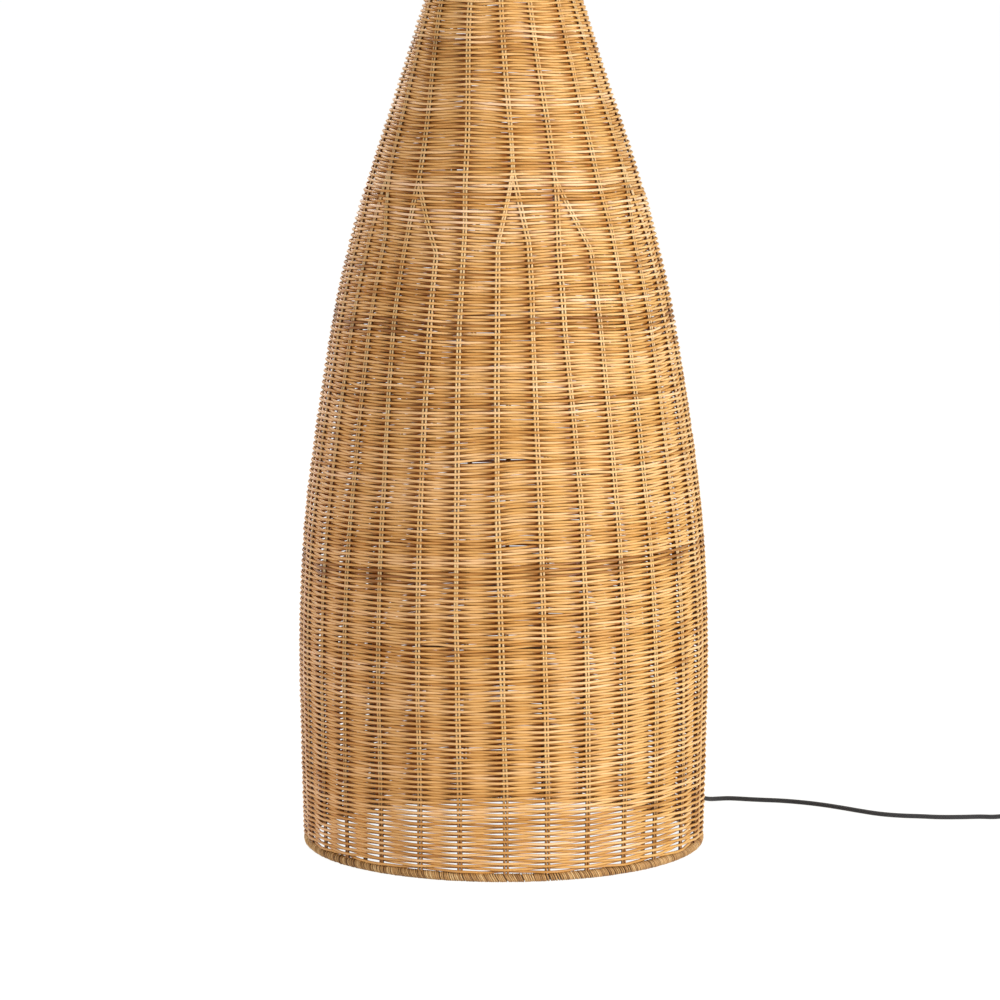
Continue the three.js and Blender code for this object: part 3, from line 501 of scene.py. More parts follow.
# Where the lowest row sags onto the rim: degrees, half width in degrees, drop
FIRST_ROW_DIPS = [
    (-44.0, 5.0, 0.0012), (-31.0, 4.0, 0.0007), (-6.0, 4.5, 0.0013), (16.0, 4.0, 0.0012),
    (38.0, 5.0, 0.0006), (57.0, 5.0, 0.0009), (96.0, 6.0, 0.001), (131.0, 5.0, 0.0012),
    (170.0, 5.0, 0.0009), (214.0, 6.0, 0.0012), (251.0, 5.0, 0.001), (290.0, 5.0, 0.0008),
]
# How far up the rows above a dip follow it, and by what share of it
DIP_REACH = 0.008
DIP_SHARE = 0.35
# How far up from the rim, and down from the neck, the rows lie more and more level
LEVEL_BELOW = 0.03
LEVEL_ABOVE = 0.02
# How far up the lowest rows wave on their own
LOW_REACH = 0.006


def around_ring(table, row, degrees):
    """Reads a table of rows and places at arrays of rows and degrees."""
    place = (degrees / 360 * RING_PLACES) % RING_PLACES
    low = np.floor(place).astype(int) % RING_PLACES
    share = place - np.floor(place)
    return table[row, low] * (1 - share) + table[row, (low + 1) % RING_PLACES] * share


def hump(degrees, place, half):
    """1 at a place of the ring, and less and less away from it."""
    away = (degrees - place + 180) % 360 - 180
    return np.exp(-(away / half) ** 2)


def row_lift(row, degrees):
    """How far a row stands above its level height at each angle."""
    level = ROWS[row]
    lift = around_ring(SLOW_DRIFT, row, degrees) + around_ring(QUICK_DRIFT, row, degrees)
    slope = np.radians(from_table(SLOPE_HEIGHTS, level))
    lift = lift + np.tan(slope) * body_radius(level) * np.sin(np.radians(degrees))
    for place, height, half, rise in PARTINGS:
        above = level - height
        fade = np.where(above > 0, np.exp(-above / PARTING_REACH), 0)
        lift = lift + rise * hump(degrees, place, half) * fade
    ends = (np.clip((level - RIM_TOP) / LEVEL_BELOW, 0, 1)
            * np.clip((BODY_HEIGHT - level) / LEVEL_ABOVE, 0, 1))
    up = level - ROWS[0]
    low = np.exp(-up / LOW_REACH) * (row > 0)
    lift = lift * ends + low * around_ring(LOW_DRIFT, row, degrees)
    for place, half, drop in FIRST_ROW_DIPS:
        dip = drop * hump(degrees, place, half)
        lift = lift + dip * np.where(row > 0, DIP_SHARE * np.exp(-up / DIP_REACH), -1)
    return lift


def weave_phase(row, degrees):
    """Stake pairs passed on the way round to an angle, with fractions between them."""
    phase = np.zeros(len(degrees))
    for r in np.unique(row):
        chosen = row == r
        level = ROWS[r]
        angle, count = (pair_angle, PAIR_COUNT) if level < LAST_LOWER_ROW else (upper_angle, UPPER_COUNT)
        stakes = np.array([float(angle(k, level)) for k in range(count)])
        places = np.concatenate([[stakes[-1] - 360], stakes, [stakes[0] + 360]])
        turned = (degrees[chosen] - stakes[0]) % 360 + stakes[0]
        phase[chosen] = np.interp(turned, places, np.arange(-1, count + 1))
    return phase


def cane_tones():
    """Shade of each row at each place: canes differ, and each runs part of the way round."""
    tones = np.zeros((len(ROWS), RING_PLACES))
    for weaver in range(2):
        level = chance.normal(0, 1)
        left = chance.integers(90, 420)
        for row in range(weaver, len(ROWS), 2):
            for k in range(RING_PLACES):
                if left == 0:
                    level = chance.normal(0, 1)
                    left = chance.integers(70, 420)
                tones[row, k] = level
                left -= 1
    near = wandering(len(ROWS), RING_PLACES, 5.0, 4.0)
    own = wandering(len(ROWS), RING_PLACES, 0, 9.0)
    return 0.5 + 0.19 * tones + 0.035 * near + 0.09 * own


# Set higher by an even count of rows, so that the darkest lengths lie where the photograph has them
TONES = np.roll(cane_tones(), 24, axis=0)


# Rings of cane or strip, before they are bent into their places
TEMPLATE_RADIUS = 10
TEMPLATE_THICK = 0.1
CANE_SIDES = 6
# Left free at each side of a strip of the flat map, as a share of its width
MAP_MARGIN = 0.04


def ring_template(steps):
    """One ring of cane, spun about the axis."""
    shape = bmesh.new()
    made = bmesh.ops.create_circle(shape, cap_ends=False, segments=CANE_SIDES,
                                   radius=TEMPLATE_THICK)["verts"]
    for turn, axis in ((math.pi / CANE_SIDES, "Z"), (math.pi / 2, "X")):
        bmesh.ops.rotate(shape, verts=made, cent=(0, 0, 0), matrix=Matrix.Rotation(turn, 3, axis))
    bmesh.ops.translate(shape, verts=made, vec=(TEMPLATE_RADIUS, 0, 0))
    bmesh.ops.spin(shape, geom=shape.edges[:] + shape.verts[:], axis=(0, 0, 1), cent=(0, 0, 0),
                   angle=2 * math.pi, steps=steps, use_merge=True)
    bmesh.ops.recalc_face_normals(shape, faces=shape.faces[:])
    return shape


def stacked_rings(name, count, steps):
    """A piece of level rings, one for each unit of height."""
    shape = ring_template(steps)
    mesh = bpy.data.meshes.new(name)
    shape.to_mesh(mesh)
    shape.free()
    piece = link(bpy.data.objects.new(name, mesh))
    stack = piece.modifiers.new("rows", "ARRAY")
    stack.count = count
    stack.use_relative_offset = False
    stack.use_constant_offset = True
    stack.constant_offset_displace = (0, 0, 1)
    bpy.context.view_layer.update()
    tool = bpy.context.evaluated_depsgraph_get()
    piece.data = bpy.data.meshes.new_from_object(piece.evaluated_get(tool))
    piece.modifiers.clear()
    bpy.data.meshes.remove(mesh)
    piece.data.name = name
    piece.data.shade_smooth()
    return piece


def points_of(mesh, kind="co"):
    """Place of each vertex, or its normal."""
    found = np.empty(len(mesh.vertices) * 3, np.float32)
    mesh.vertices.foreach_get(kind, found)
    return found.reshape(-1, 3).astype(float)


def corners_of(mesh):
    """The vertex at each corner of the faces."""
    found = np.empty(len(mesh.loops), np.int32)
    mesh.loops.foreach_get("vertex_index", found)
    return found


def ring_places(mesh):
    """Of each vertex: its ring, the way round that ring and the way round the cane."""
    points = points_of(mesh)
    own = np.rint(points[:, 2]).astype(int)
    distance = np.hypot(points[:, 0], points[:, 1]) - TEMPLATE_RADIUS
    return own, np.arctan2(points[:, 1], points[:, 0]), np.arctan2(points[:, 2] - own, distance)


def from_axis(radius, turn, height):
    """Points at a radius and at an angle to the right of the front."""
    return np.stack([radius * np.sin(turn), -radius * np.cos(turn), height], axis=1)


def set_points(mesh, points):
    mesh.vertices.foreach_set("co", points.astype(np.float32).ravel())
    mesh.update()


def mark(mesh, name, values):
    """A number at each vertex, for the finishes."""
    layer = mesh.attributes.new(name, "FLOAT", "POINT")
    layer.data.foreach_set("value", values.astype(np.float32))


def in_strip(strip, share, count):
    """The place across the flat map of a share of one of its strips."""
    return (strip + MAP_MARGIN + share * (1 - 2 * MAP_MARGIN)) / count


def lay_out(mesh, own, round_ring, section):
    """A flat map in which each ring is a strip, from angles at the vertices that wrap at half a turn."""
    layer = mesh.uv_layers.new(name="OFBake")
    corner = corners_of(mesh)
    flat = (np.stack([round_ring, section], axis=1)[corner] + math.pi) / (2 * math.pi)
    quads = flat.reshape(-1, 4, 2)
    for axis in range(2):
        low = quads[:, :, axis].min(1, keepdims=True)
        wide = quads[:, :, axis].max(1, keepdims=True) - low > 0.5
        quads[:, :, axis] += np.where(wide & (quads[:, :, axis] < 0.5), 1.0, 0.0)
    quads[:, :, 0] *= 0.999
    quads[:, :, 1] = in_strip(own[corner].reshape(-1, 4), quads[:, :, 1], own.max() + 1)
    layer.uv.foreach_set("vector", quads.astype(np.float32).ravel())


def weave_band(name, first, last, steps):
    """Rows first to last of the weave."""
    piece = stacked_rings(name, last - first, steps)
    mesh = piece.data
    own, turn, section = ring_places(mesh)
    row = own + first
    # The front is at 0, to the right is positive, and the seam of the strips is at the back
    degrees = np.degrees(turn)
    swing = SWING * around_ring(SWING_DRIFT, row, degrees)
    level = ROWS[row] + row_lift(row, degrees)
    slope = body_slope(level)
    stretch = np.hypot(1, slope)
    across = np.cos(np.pi * (weave_phase(row, degrees) + LEAN))
    side = np.where(row % 2 == 0, 1.0, -1.0)
    course = side * np.sign(across) * np.abs(across) ** BEND
    wave = course * swing
    out = body_radius(level) - HALF_WALL * stretch + wave / stretch + CANE_DEPTH * np.cos(section)
    level = level - wave * slope / stretch * 0.5 - BACK_RISE * course * np.abs(course) / 2
    set_points(mesh, from_axis(out, turn, level + CANE_RADIUS * np.sin(section)))
    mark(mesh, "cane_tone", around_ring(TONES, row, degrees))
    # Painted shade where a cane dives behind the stakes, and round its inner side where it meets the next
    # ones
    dive = eased(np.clip((-0.45 - course) / 0.5, 0, 1))
    inward = np.clip((0.6 - np.cos(section)) / 0.9, 0, 1)
    mark(mesh, "cane_recess", np.maximum(0.85 * dive, 0.95 * inward))
    lay_out(mesh, own, turn, section)
    mesh.materials.append(CANE.material)
    bind(piece, "lamp", "cane", "woven_body")


def cane_finish():
    """Round rattan cane: honey and tan lengths, fine grain along them, a dull lacquer, painted shade in its
    recesses and painted side light.
    """
    finish = Finish("rattan_cane", Specular_IOR_Level=0.5)
    turn, x, y, z = finish.round_axis()
    run = finish.vector(turn * 0.2, z, (x * x + y * y) ** 0.5)
    grain = finish.noise(finish.scaled(run, (60.0, 900.0, 900.0)), 1.0, 3.0, 0.6)
    blotch = finish.noise(finish.scaled(run, (9.0, 120.0, 60.0)), 1.0, 2.0)
    shade = finish.attribute("cane_tone")
    level = shade * 0.75 + (blotch - 0.5) * 0.5 + 0.125
    colour = finish.ramp(level.held(), [
        (0.0, tone(155, 104, 43)), (0.25, tone(203, 150, 75)), (0.5, tone(225, 180, 108)),
        (0.75, tone(239, 201, 144)), (1.0, tone(250, 219, 180))])
    # Painted light: the left of the body greyer and pinker, the right paler, as if lit from the right
    side = finish.mix(x.above(-0.22, 0.2), tone(250, 234, 228), tone(255, 252, 244))
    side_lit_colour = finish.stained(colour, 1.0, side)
    # Painted shade where the cane dives behind the stakes and where the rows meet
    shaded = finish.stained(side_lit_colour, finish.attribute("cane_recess"), tone(198, 146, 56))
    finish.feed("Base Color", finish.times(shaded, grain * 0.3 + 0.86))
    finish.feed("Roughness", grain * 0.2 + 0.33)
    finish.bump(grain, 0.00025, 0.5)
    return finish


def make_weave():
    edge = int(np.searchsorted(ROWS, LAST_LOWER_ROW))
    cuts = [*np.linspace(0, edge, LOWER_BANDS + 1).astype(int),
            *np.linspace(edge, len(ROWS), UPPER_BANDS + 1).astype(int)[1:]]
    for i, (first, last) in enumerate(zip(cuts, cuts[1:])):
        weave_band(f"weave_band_{i + 1}", first, last, LOWER_STEPS if first < edge else UPPER_STEPS)


CANE = cane_finish()
make_weave()


# Stakes: pairs of thin upright canes
STAKE_RADIUS = 0.00142
STAKE_GAP = 0.00322
STAKE_SIDES = 8
STAKE_FOOT = 0.0088
STAKE_HEAD = BODY_HEIGHT + 0.003
STAKE_STEP = 0.009
STAKE_DEPTH = 0.004
STAKE_SWAY = 0.0003
SWAY_PLACES = 24
SPLIT_END = 0.004


def tube_mesh(name, lines, radius, sides):
    """Round tubes along lines of points, as one mesh made from curves."""
    data = bpy.data.curves.new(name, "CURVE")
    data.dimensions = "3D"
    data.bevel_depth = radius
    data.bevel_resolution = sides // 2 - 2
    data.use_fill_caps = True
    data.twist_mode = "MINIMUM"
    for line in lines:
        spline = data.splines.new("POLY")
        spline.points.add(len(line) - 1)
        spline.points.foreach_set("co", np.pad(line, ((0, 0), (0, 1)), constant_values=1).ravel())
    holder = link(bpy.data.objects.new(name, data))
    bpy.context.view_layer.update()
    mesh = bpy.data.meshes.new_from_object(holder.evaluated_get(bpy.context.evaluated_depsgraph_get()))
    bpy.data.objects.remove(holder)
    bpy.data.curves.remove(data)
    mesh.name = name
    mesh.shade_smooth()
    return link(bpy.data.objects.new(name, mesh))


def make_stakes():
    lines = []
    for parent, below in enumerate(CHILDREN):
        for k in below:
            for side in (-1, 1):
                outer = len(below) == 1 or (k == below[0]) == (side < 0)
                top = STAKE_HEAD if outer else SPLITS[parent] - SPLIT_END
                heights = np.linspace(STAKE_FOOT, top, int((top - STAKE_FOOT) / STAKE_STEP) + 2)
                half = np.degrees(STAKE_GAP / 2 / (body_radius(heights) - STAKE_DEPTH))
                sway = STAKE_SWAY * np.interp(heights, np.linspace(0, 1.1, SWAY_PLACES),
                                              chance.standard_normal(SWAY_PLACES))
                away = side * half + np.degrees(sway / body_radius(heights))
                middle = body_radius(heights) - HALF_WALL * np.hypot(1, body_slope(heights))
                lines.append(from_axis(middle, np.radians(pair_angle(k, heights) + away), heights))
    piece = tube_mesh("stake_canes", lines, STAKE_RADIUS, STAKE_SIDES)
    mark_stakes(piece.data, lines)
    piece.data.materials.append(STAKE.material)
    bind(piece, "lamp", "cane", "woven_body")


def mark_stakes(mesh, lines):
    """Marks the flanks of the stakes for painted shade, and maps each stake on a strip of its own."""
    outward = points_of(mesh)[:, :2]
    outward /= np.maximum(np.hypot(outward[:, 0], outward[:, 1]), 1e-6)[:, None]
    facing = (points_of(mesh, "normal")[:, :2] * outward).sum(1)
    # Painted shade on the flanks and back of each stake, away from where it faces out
    mark(mesh, "cane_recess", np.clip((0.96 - facing) / 0.65, 0, 1))
    # The curves' mesh has the points of each stake's two ends first, and then the stakes' sides
    stake = np.concatenate([np.repeat(np.arange(len(lines)), 2 * STAKE_SIDES),
                            np.repeat(np.arange(len(lines)), [STAKE_SIDES * len(line) for line in lines])])
    layer = mesh.uv_layers[0]
    layer.name = "OFBake"
    flat = np.empty(len(mesh.loops) * 2, np.float32)
    layer.uv.foreach_get("vector", flat)
    flat[1::2] = in_strip(stake[corners_of(mesh)], flat[1::2], len(lines))
    layer.uv.foreach_set("vector", flat)


def stake_finish():
    """Thin upright cane: paler and darker lengths, with painted shade down its flanks and darker near the
    floor.
    """
    finish = Finish("stake_cane", Roughness=0.4)
    grain = finish.noise(finish.scaled(finish.place(), (900.0, 900.0, 40.0)), 1.0, 3.0, 0.6)
    blotch = finish.noise(finish.scaled(finish.place(), (60.0, 60.0, 14.0)), 1.0, 2.0)
    colour = finish.mix(blotch.above(0.3, 0.7), tone(238, 190, 124), tone(255, 224, 166))
    # Darker towards the floor, and painted shade down the flanks
    low = finish.parts(finish.place())[2].above(0.14, 0.05)
    shaded = finish.stained(finish.stained(colour, low, tone(186, 158, 124)),
                           finish.attribute("cane_recess"), tone(98, 66, 34))
    finish.feed("Base Color", finish.times(shaded, grain * 0.3 + 0.84))
    finish.bump(grain, 0.0002, 0.5)
    return finish


STAKE = stake_finish()
make_stakes()


# Turned and stacked shapes for the smaller pieces
CORNER_STEPS = 6
SHARP_ANGLE = math.radians(38)
SAME_PLACE = 1e-6


def mesh_piece(name, shape, finish, body, slot, *replaced):
    """Finishes a bmesh as a piece of the lamp."""
    bmesh.ops.remove_doubles(shape, verts=shape.verts[:], dist=SAME_PLACE)
    bmesh.ops.recalc_face_normals(shape, faces=shape.faces[:])
    mesh = bpy.data.meshes.new(name)
    shape.to_mesh(mesh)
    shape.free()
    mesh.materials.append(finish.material)
    mesh.shade_smooth()
    mesh.set_sharp_from_angle(angle=SHARP_ANGLE)
    return bind(link(bpy.data.objects.new(name, mesh)), body, slot, *replaced)


def turned_shape(profile, steps, base=0.0):
    """A profile of radius and height above a base, spun about the axis and closed unless it starts on it."""
    shape = bmesh.new()
    verts = [shape.verts.new((radius, 0, base + height)) for radius, height in profile]
    ends = verts[1:] + verts[:1] if profile[0][0] > 0 else verts[1:]
    edges = [shape.edges.new(pair) for pair in zip(verts, ends)]
    bmesh.ops.spin(shape, geom=verts + edges, axis=(0, 0, 1), cent=(0, 0, 0), angle=2 * math.pi,
                   steps=steps, use_merge=True)
    bmesh.ops.remove_doubles(shape, verts=shape.verts[:], dist=SAME_PLACE)
    return shape


def stacked_shape(loops):
    """Rounded rectangles bridged into one closed skin, from (length, width, corner, height)."""
    shape = bmesh.new()
    rims = []
    for length, width, corner, height in loops:
        before = set(shape.faces)
        made = bmesh.ops.create_grid(shape, x_segments=1, y_segments=1, size=0.5)["verts"]
        bmesh.ops.scale(shape, verts=made, vec=(length, width, 1))
        bmesh.ops.translate(shape, verts=made, vec=(0, 0, height))
        bmesh.ops.bevel(shape, geom=made, offset=corner, offset_type="OFFSET", segments=CORNER_STEPS,
                        profile=0.5, affect="VERTICES", material=-1, clamp_overlap=False)
        rims.append((set(shape.faces) - before).pop())
    for below, above in zip(rims, rims[1:]):
        bmesh.ops.bridge_loops(shape, edges=list(below.edges) + list(above.edges))
    bmesh.ops.delete(shape, geom=rims[1:-1], context="FACES_ONLY")
    return shape


def moved(shape, matrix):
    bmesh.ops.transform(shape, matrix=matrix, verts=shape.verts[:])
    return shape


def aimed(place, towards):
    """The matrix that takes a shape to a place, with its axis towards a direction."""
    return Matrix.Translation(place) @ Vector(towards).to_track_quat("Z", "Y").to_matrix().to_4x4()


def at_angle(radius, degrees_left, height):
    """A point at the CAD's azimuth, which turns from +X towards +Y."""
    turn = math.radians(degrees_left)
    return Vector((radius * math.cos(turn), radius * math.sin(turn), height))


# Finishes of the smaller pieces
def plastic_finish(name, dark, light, grit=0.00004):
    """Moulded plastic with a fine spark-eroded texture and faint rubbed marks."""
    finish = Finish(name, Specular_IOR_Level=0.4)
    grain = finish.noise(finish.place(), 2600.0, 3.0, 0.7)
    rub = finish.noise(finish.place(), 60.0, 3.0, 0.6)
    finish.feed("Base Color", finish.mix((rub.above(0.35, 0.75) * 0.6 + grain * 0.3).held(), dark, light))
    finish.feed("Roughness", rub * 0.22 + 0.38)
    finish.bump(grain, grit, 0.6)
    return finish


def metal_finish(name, dark, light, rough):
    """Bare or plated metal, with fine turned lines and dull patches."""
    finish = Finish(name, Metallic=1.0)
    lines = finish.noise(finish.scaled(finish.place(), (60.0, 60.0, 3200.0)), 1.0, 2.0, 0.6)
    cloud = finish.noise(finish.place(), 90.0, 3.0, 0.55)
    finish.feed("Base Color", finish.mix(cloud.above(0.3, 0.75), light, dark))
    finish.feed("Roughness", lines * 0.16 + cloud * 0.16 + (rough - 0.12))
    finish.bump(lines, 0.00003, 0.4)
    return finish


def painted_finish(name, dark, light, rough):
    """Sprayed paint on steel, with its slight orange peel and a little dust."""
    finish = Finish(name, Specular_IOR_Level=0.4)
    peel = finish.noise(finish.place(), 700.0, 2.0, 0.5)
    dust = finish.noise(finish.place(), 38.0, 4.0, 0.6)
    finish.feed("Base Color", finish.mix(dust.above(0.4, 0.8), dark, light))
    finish.feed("Roughness", dust * 0.25 + (rough - 0.1))
    finish.bump(peel, 0.00008, 0.5)
    return finish


def ceramic_finish():
    finish = Finish("white_ceramic", Roughness=0.35)
    speck = finish.noise(finish.place(), 420.0, 3.0, 0.6)
    finish.feed("Base Color", finish.mix(speck.above(0.45, 0.75), tone(232, 229, 220), tone(206, 200, 188)))
    finish.bump(speck, 0.00005, 0.5)
    return finish


def glass_finish():
    """Opal glass: white, satin, a little warmer in places."""
    finish = Finish("opal_glass", Coat_Weight=0.3, Coat_Roughness=0.15)
    cloud = finish.noise(finish.place(), 24.0, 3.0, 0.5)
    finish.feed("Base Color", finish.mix(cloud.above(0.35, 0.7), tone(244, 242, 236), tone(232, 228, 217)))
    finish.feed("Roughness", cloud * 0.1 + 0.24)
    return finish


def winding_finish():
    """Narrow strip of rattan skin, duller than the canes, with fibres along it and painted shade on its edges
    where the strips meet.
    """
    finish = Finish("rattan_strip", Roughness=0.55)
    turn, x, y, z = finish.round_axis()
    far = (x * x + y * y) ** 0.5
    patch = finish.noise(finish.vector(turn * 110.0, z * 30.0, far * 30.0), 1.0, 2.0)
    fibre = finish.noise(finish.vector(turn * 700.0, z * 60.0, far * 60.0), 1.0, 3.0, 0.6)
    level = finish.attribute("strip_tone") * 0.8 + (patch - 0.5) * 0.6 + 0.1
    colour = finish.ramp(level.held(), [
        (0.0, tone(134, 88, 40)), (0.35, tone(190, 142, 82)), (0.6, tone(216, 169, 106)),
        (1.0, tone(248, 210, 150))])
    # Painted shade on the edges where the strips meet
    shaded = finish.stained(colour, finish.attribute("cane_recess"), tone(84, 46, 16))
    finish.feed("Base Color", finish.times(shaded, fibre * 0.6 + 0.7))
    finish.bump(fibre, 0.0003, 0.7)
    return finish


LINEN_THREAD = 0.00085
LINEN_ROUND = 0.235


def linen_finish():
    """Natural linen: plain weave with slubs both ways."""
    finish = Finish("natural_linen", Roughness=0.9, Sheen_Weight=0.2, Sheen_Roughness=0.6,
                    Specular_IOR_Level=0.2)
    turn, _, _, z = finish.round_axis()
    run = turn * LINEN_ROUND
    weft = z.ripple(LINEN_THREAD)
    warp = run.ripple(LINEN_THREAD)
    flat = finish.vector(run, z, 0.0)
    # Each thread's thick places lie on their own, so that they make no blocks
    over = finish.noise(finish.scaled(flat, (0.0, 420.0, 0.0)), 1.0, 0.0) * 30
    upward = finish.noise(finish.scaled(flat, (420.0, 0.0, 0.0)), 1.0, 0.0) * 30
    slub_across = finish.noise(finish.vector(run * 26.0 + over, z * 900.0, 0.0), 1.0, 2.0, 0.6)
    slub_up = finish.noise(finish.vector(run * 900.0, z * 26.0 + upward, 0.0), 1.0, 2.0, 0.6)
    slub = slub_across * 0.5 + slub_up * 0.5
    colour = finish.ramp(slub, [
        (0.38, tone(203, 191, 166)), (0.5, tone(224, 214, 192)), (0.62, tone(238, 231, 215))])
    thread = weft.maths("MINIMUM", warp)
    finish.feed("Base Color", finish.times(colour, thread * 0.18 + 0.86))
    finish.bump(slub * 0.7 + thread * 0.3, 0.0005, 0.7)
    return finish


def liner_finish():
    finish = Finish("white_laminate", Roughness=0.6)
    cloud = finish.noise(finish.place(), 30.0, 3.0, 0.5)
    finish.feed("Base Color", finish.mix(cloud.above(0.3, 0.75), tone(240, 238, 231), tone(232, 229, 220)))
    finish.bump(finish.noise(finish.place(), 900.0, 2.0), 0.00006, 0.4)
    return finish


def strap_finish():
    """Woven nylon strap."""
    finish = Finish("nylon_strap", Roughness=0.8, Sheen_Weight=0.2)
    x, y, z = finish.parts(finish.place())
    thread = (x + z).ripple(0.0007).maths("MAXIMUM", y.ripple(0.0007))
    finish.feed("Base Color", finish.mix(thread.above(0.4, 1.0), tone(18, 18, 19), tone(48, 48, 50)))
    finish.bump(thread, 0.0002, 0.7)
    return finish


WINDING = winding_finish()
LINEN = linen_finish()
LINER = liner_finish()
WHITE_WIRE = painted_finish("white_coated_wire", tone(224, 223, 217), tone(206, 203, 194), 0.4)
BROWN_STEEL = painted_finish("brown_painted_steel", tone(92, 72, 52), tone(122, 99, 74), 0.45)
BLACK_METAL = painted_finish("black_powder_coat", tone(24, 24, 23), tone(46, 45, 43), 0.55)
ZINC = metal_finish("zinc_plate", tone(176, 176, 170), tone(204, 204, 199), 0.32)
NICKEL = metal_finish("nickel_plate", tone(190, 188, 182), tone(220, 218, 213), 0.22)
BRASS = metal_finish("plain_brass", tone(176, 134, 64), tone(214, 176, 104), 0.3)
ALUMINIUM = metal_finish("spun_aluminium", tone(186, 186, 185), tone(214, 214, 213), 0.3)
BLACK_PLASTIC = plastic_finish("black_moulding", tone(24, 24, 25), tone(44, 44, 45))
HOLDER_PLASTIC = plastic_finish("holder_moulding", tone(22, 22, 22), tone(40, 40, 40))
BUTTON_PLASTIC = plastic_finish("button_moulding", tone(20, 20, 21), tone(36, 36, 37), 0.00001)
CERAMIC = ceramic_finish()
OPAL = glass_finish()
STRAP = strap_finish()


# Wound rims
JOINT_GAP = 0.0003
RIM_REST = 0.00483
HOOP_INSET = 0.005
WOUND_RADIUS = 0.004
STRIP_DEPTH = 0.00088
STRIP_LEAN = 0.0021
HOOP_STEPS = 12
BASE_TURNS = 600
NECK_TURNS = 126
BASE_HOOP_RADIUS = float(body_radius(RIM_REST)) - HOOP_INSET
NECK_HOOP_RADIUS = float(body_radius(BODY_HEIGHT)) - HOOP_INSET
NECK_HOOP_HEIGHT = BODY_HEIGHT + JOINT_GAP + RIM_REST


def winding(name, ring_radius, height, turns, breaks, replaced):
    """Strip wound round a hoop, one closed turn after another, parted where stakes stand."""
    piece = stacked_rings(name, turns, HOOP_STEPS)
    mesh = piece.data
    own, round_hoop, section = ring_places(mesh)
    # Turns stand evenly but for a wider step at each break, and lean more or less as they go round
    pitch = math.radians(360 / turns) * ring_radius
    steps = 1 + chance.normal(0, 0.16, turns).clip(-0.4, 0.4)
    for place in breaks:
        steps[int(place / 360 * turns) % turns] += 0.3
    starts = np.cumsum(steps) / steps.sum() * 2 * math.pi
    half = pitch * 0.5 * (1 + chance.normal(0, 0.07, turns))
    lift = chance.normal(0, 0.00012, turns)
    lean = STRIP_LEAN + np.interp(np.arange(turns), np.linspace(0, turns, 40), chance.normal(0, 0.0006, 40))
    small = WOUND_RADIUS + lift[own] + STRIP_DEPTH * np.cos(section)
    up = np.maximum(height + small * np.sin(round_hoop), height - RIM_REST)
    turn = starts[own] + (half[own] * np.sin(section) - lean[own] * np.sin(round_hoop)) / ring_radius
    set_points(mesh, from_axis(ring_radius + small * np.cos(round_hoop), turn, up))
    mark(mesh, "strip_tone", (0.5 + 0.25 * chance.standard_normal(turns))[own])
    # Painted shade on the sides of each strip, where it meets the next turns
    mark(mesh, "cane_recess", np.clip((0.92 - np.cos(section)) / 0.75, 0, 1))
    lay_out(mesh, own, round_hoop, section)
    mesh.materials.append(WINDING.material)
    bind(piece, "lamp", "winding", replaced)


winding("base_rim_winding", BASE_HOOP_RADIUS, RIM_REST, BASE_TURNS, LOWER[:, 0] % 360, "base_rim_wrap")
winding("neck_rim_winding", NECK_HOOP_RADIUS, NECK_HOOP_HEIGHT, NECK_TURNS, NECK % 360, "neck_rim_wrap")


# Neck, stem and lamp holder: profiles of radius, then height above the piece's underside or the holder's
NECK_CAP_HEIGHT = 0.009
NECK_CAP_BOTTOM = NECK_HOOP_HEIGHT + RIM_REST + JOINT_GAP
STEM_HEIGHT = 0.04
STEM_BOTTOM = NECK_CAP_BOTTOM + NECK_CAP_HEIGHT + JOINT_GAP
HOLDER_BOTTOM = STEM_BOTTOM + STEM_HEIGHT + JOINT_GAP
KNURLS = 32
KNURL_DEPTH = 0.022
GLOBE_RADIUS = 0.03
GLOBE_BOTTOM = 0.0513
GLOBE_CENTRE = GLOBE_BOTTOM + 0.052
GLASS_NECK = 0.0126
GLASS_NECK_TOP = GLOBE_BOTTOM + 0.006


def make_neck():
    crown = [(0.0131 + 0.0369 * math.cos(turn), 0.0024 + 0.0066 * math.sin(turn))
             for turn in np.linspace(0, math.pi / 2, 17)]
    cap = ([(0.0054, 0), (0.0492, 0), (0.0498, 0.0003), (0.05, 0.0008)] + crown
           + [(0.0101, NECK_CAP_HEIGHT), (0.0054, NECK_CAP_HEIGHT)])
    mesh_piece("neck_cap_spun", turned_shape(cap, 96, NECK_CAP_BOTTOM), BLACK_METAL, "lamp",
               "black_metal", "neck_cap")
    stem = [(0.0054, 0), (0.0077, 0), (0.008, 0.0003), (0.008, STEM_HEIGHT - 0.0003),
            (0.0077, STEM_HEIGHT), (0.0054, STEM_HEIGHT)]
    mesh_piece("stem_tube", turned_shape(stem, 48, STEM_BOTTOM), BLACK_METAL, "lamp",
               "black_metal", "stem_sleeve")


def ridged(low, high, outer, depth, count):
    """A profile of shallow rounded ridges up a wall."""
    shares = [k / (count * 4) for k in range(count * 4 + 1)]
    return [(outer - depth * (0.5 + 0.5 * math.cos(2 * math.pi * count * share)),
             low + (high - low) * share) for share in shares]


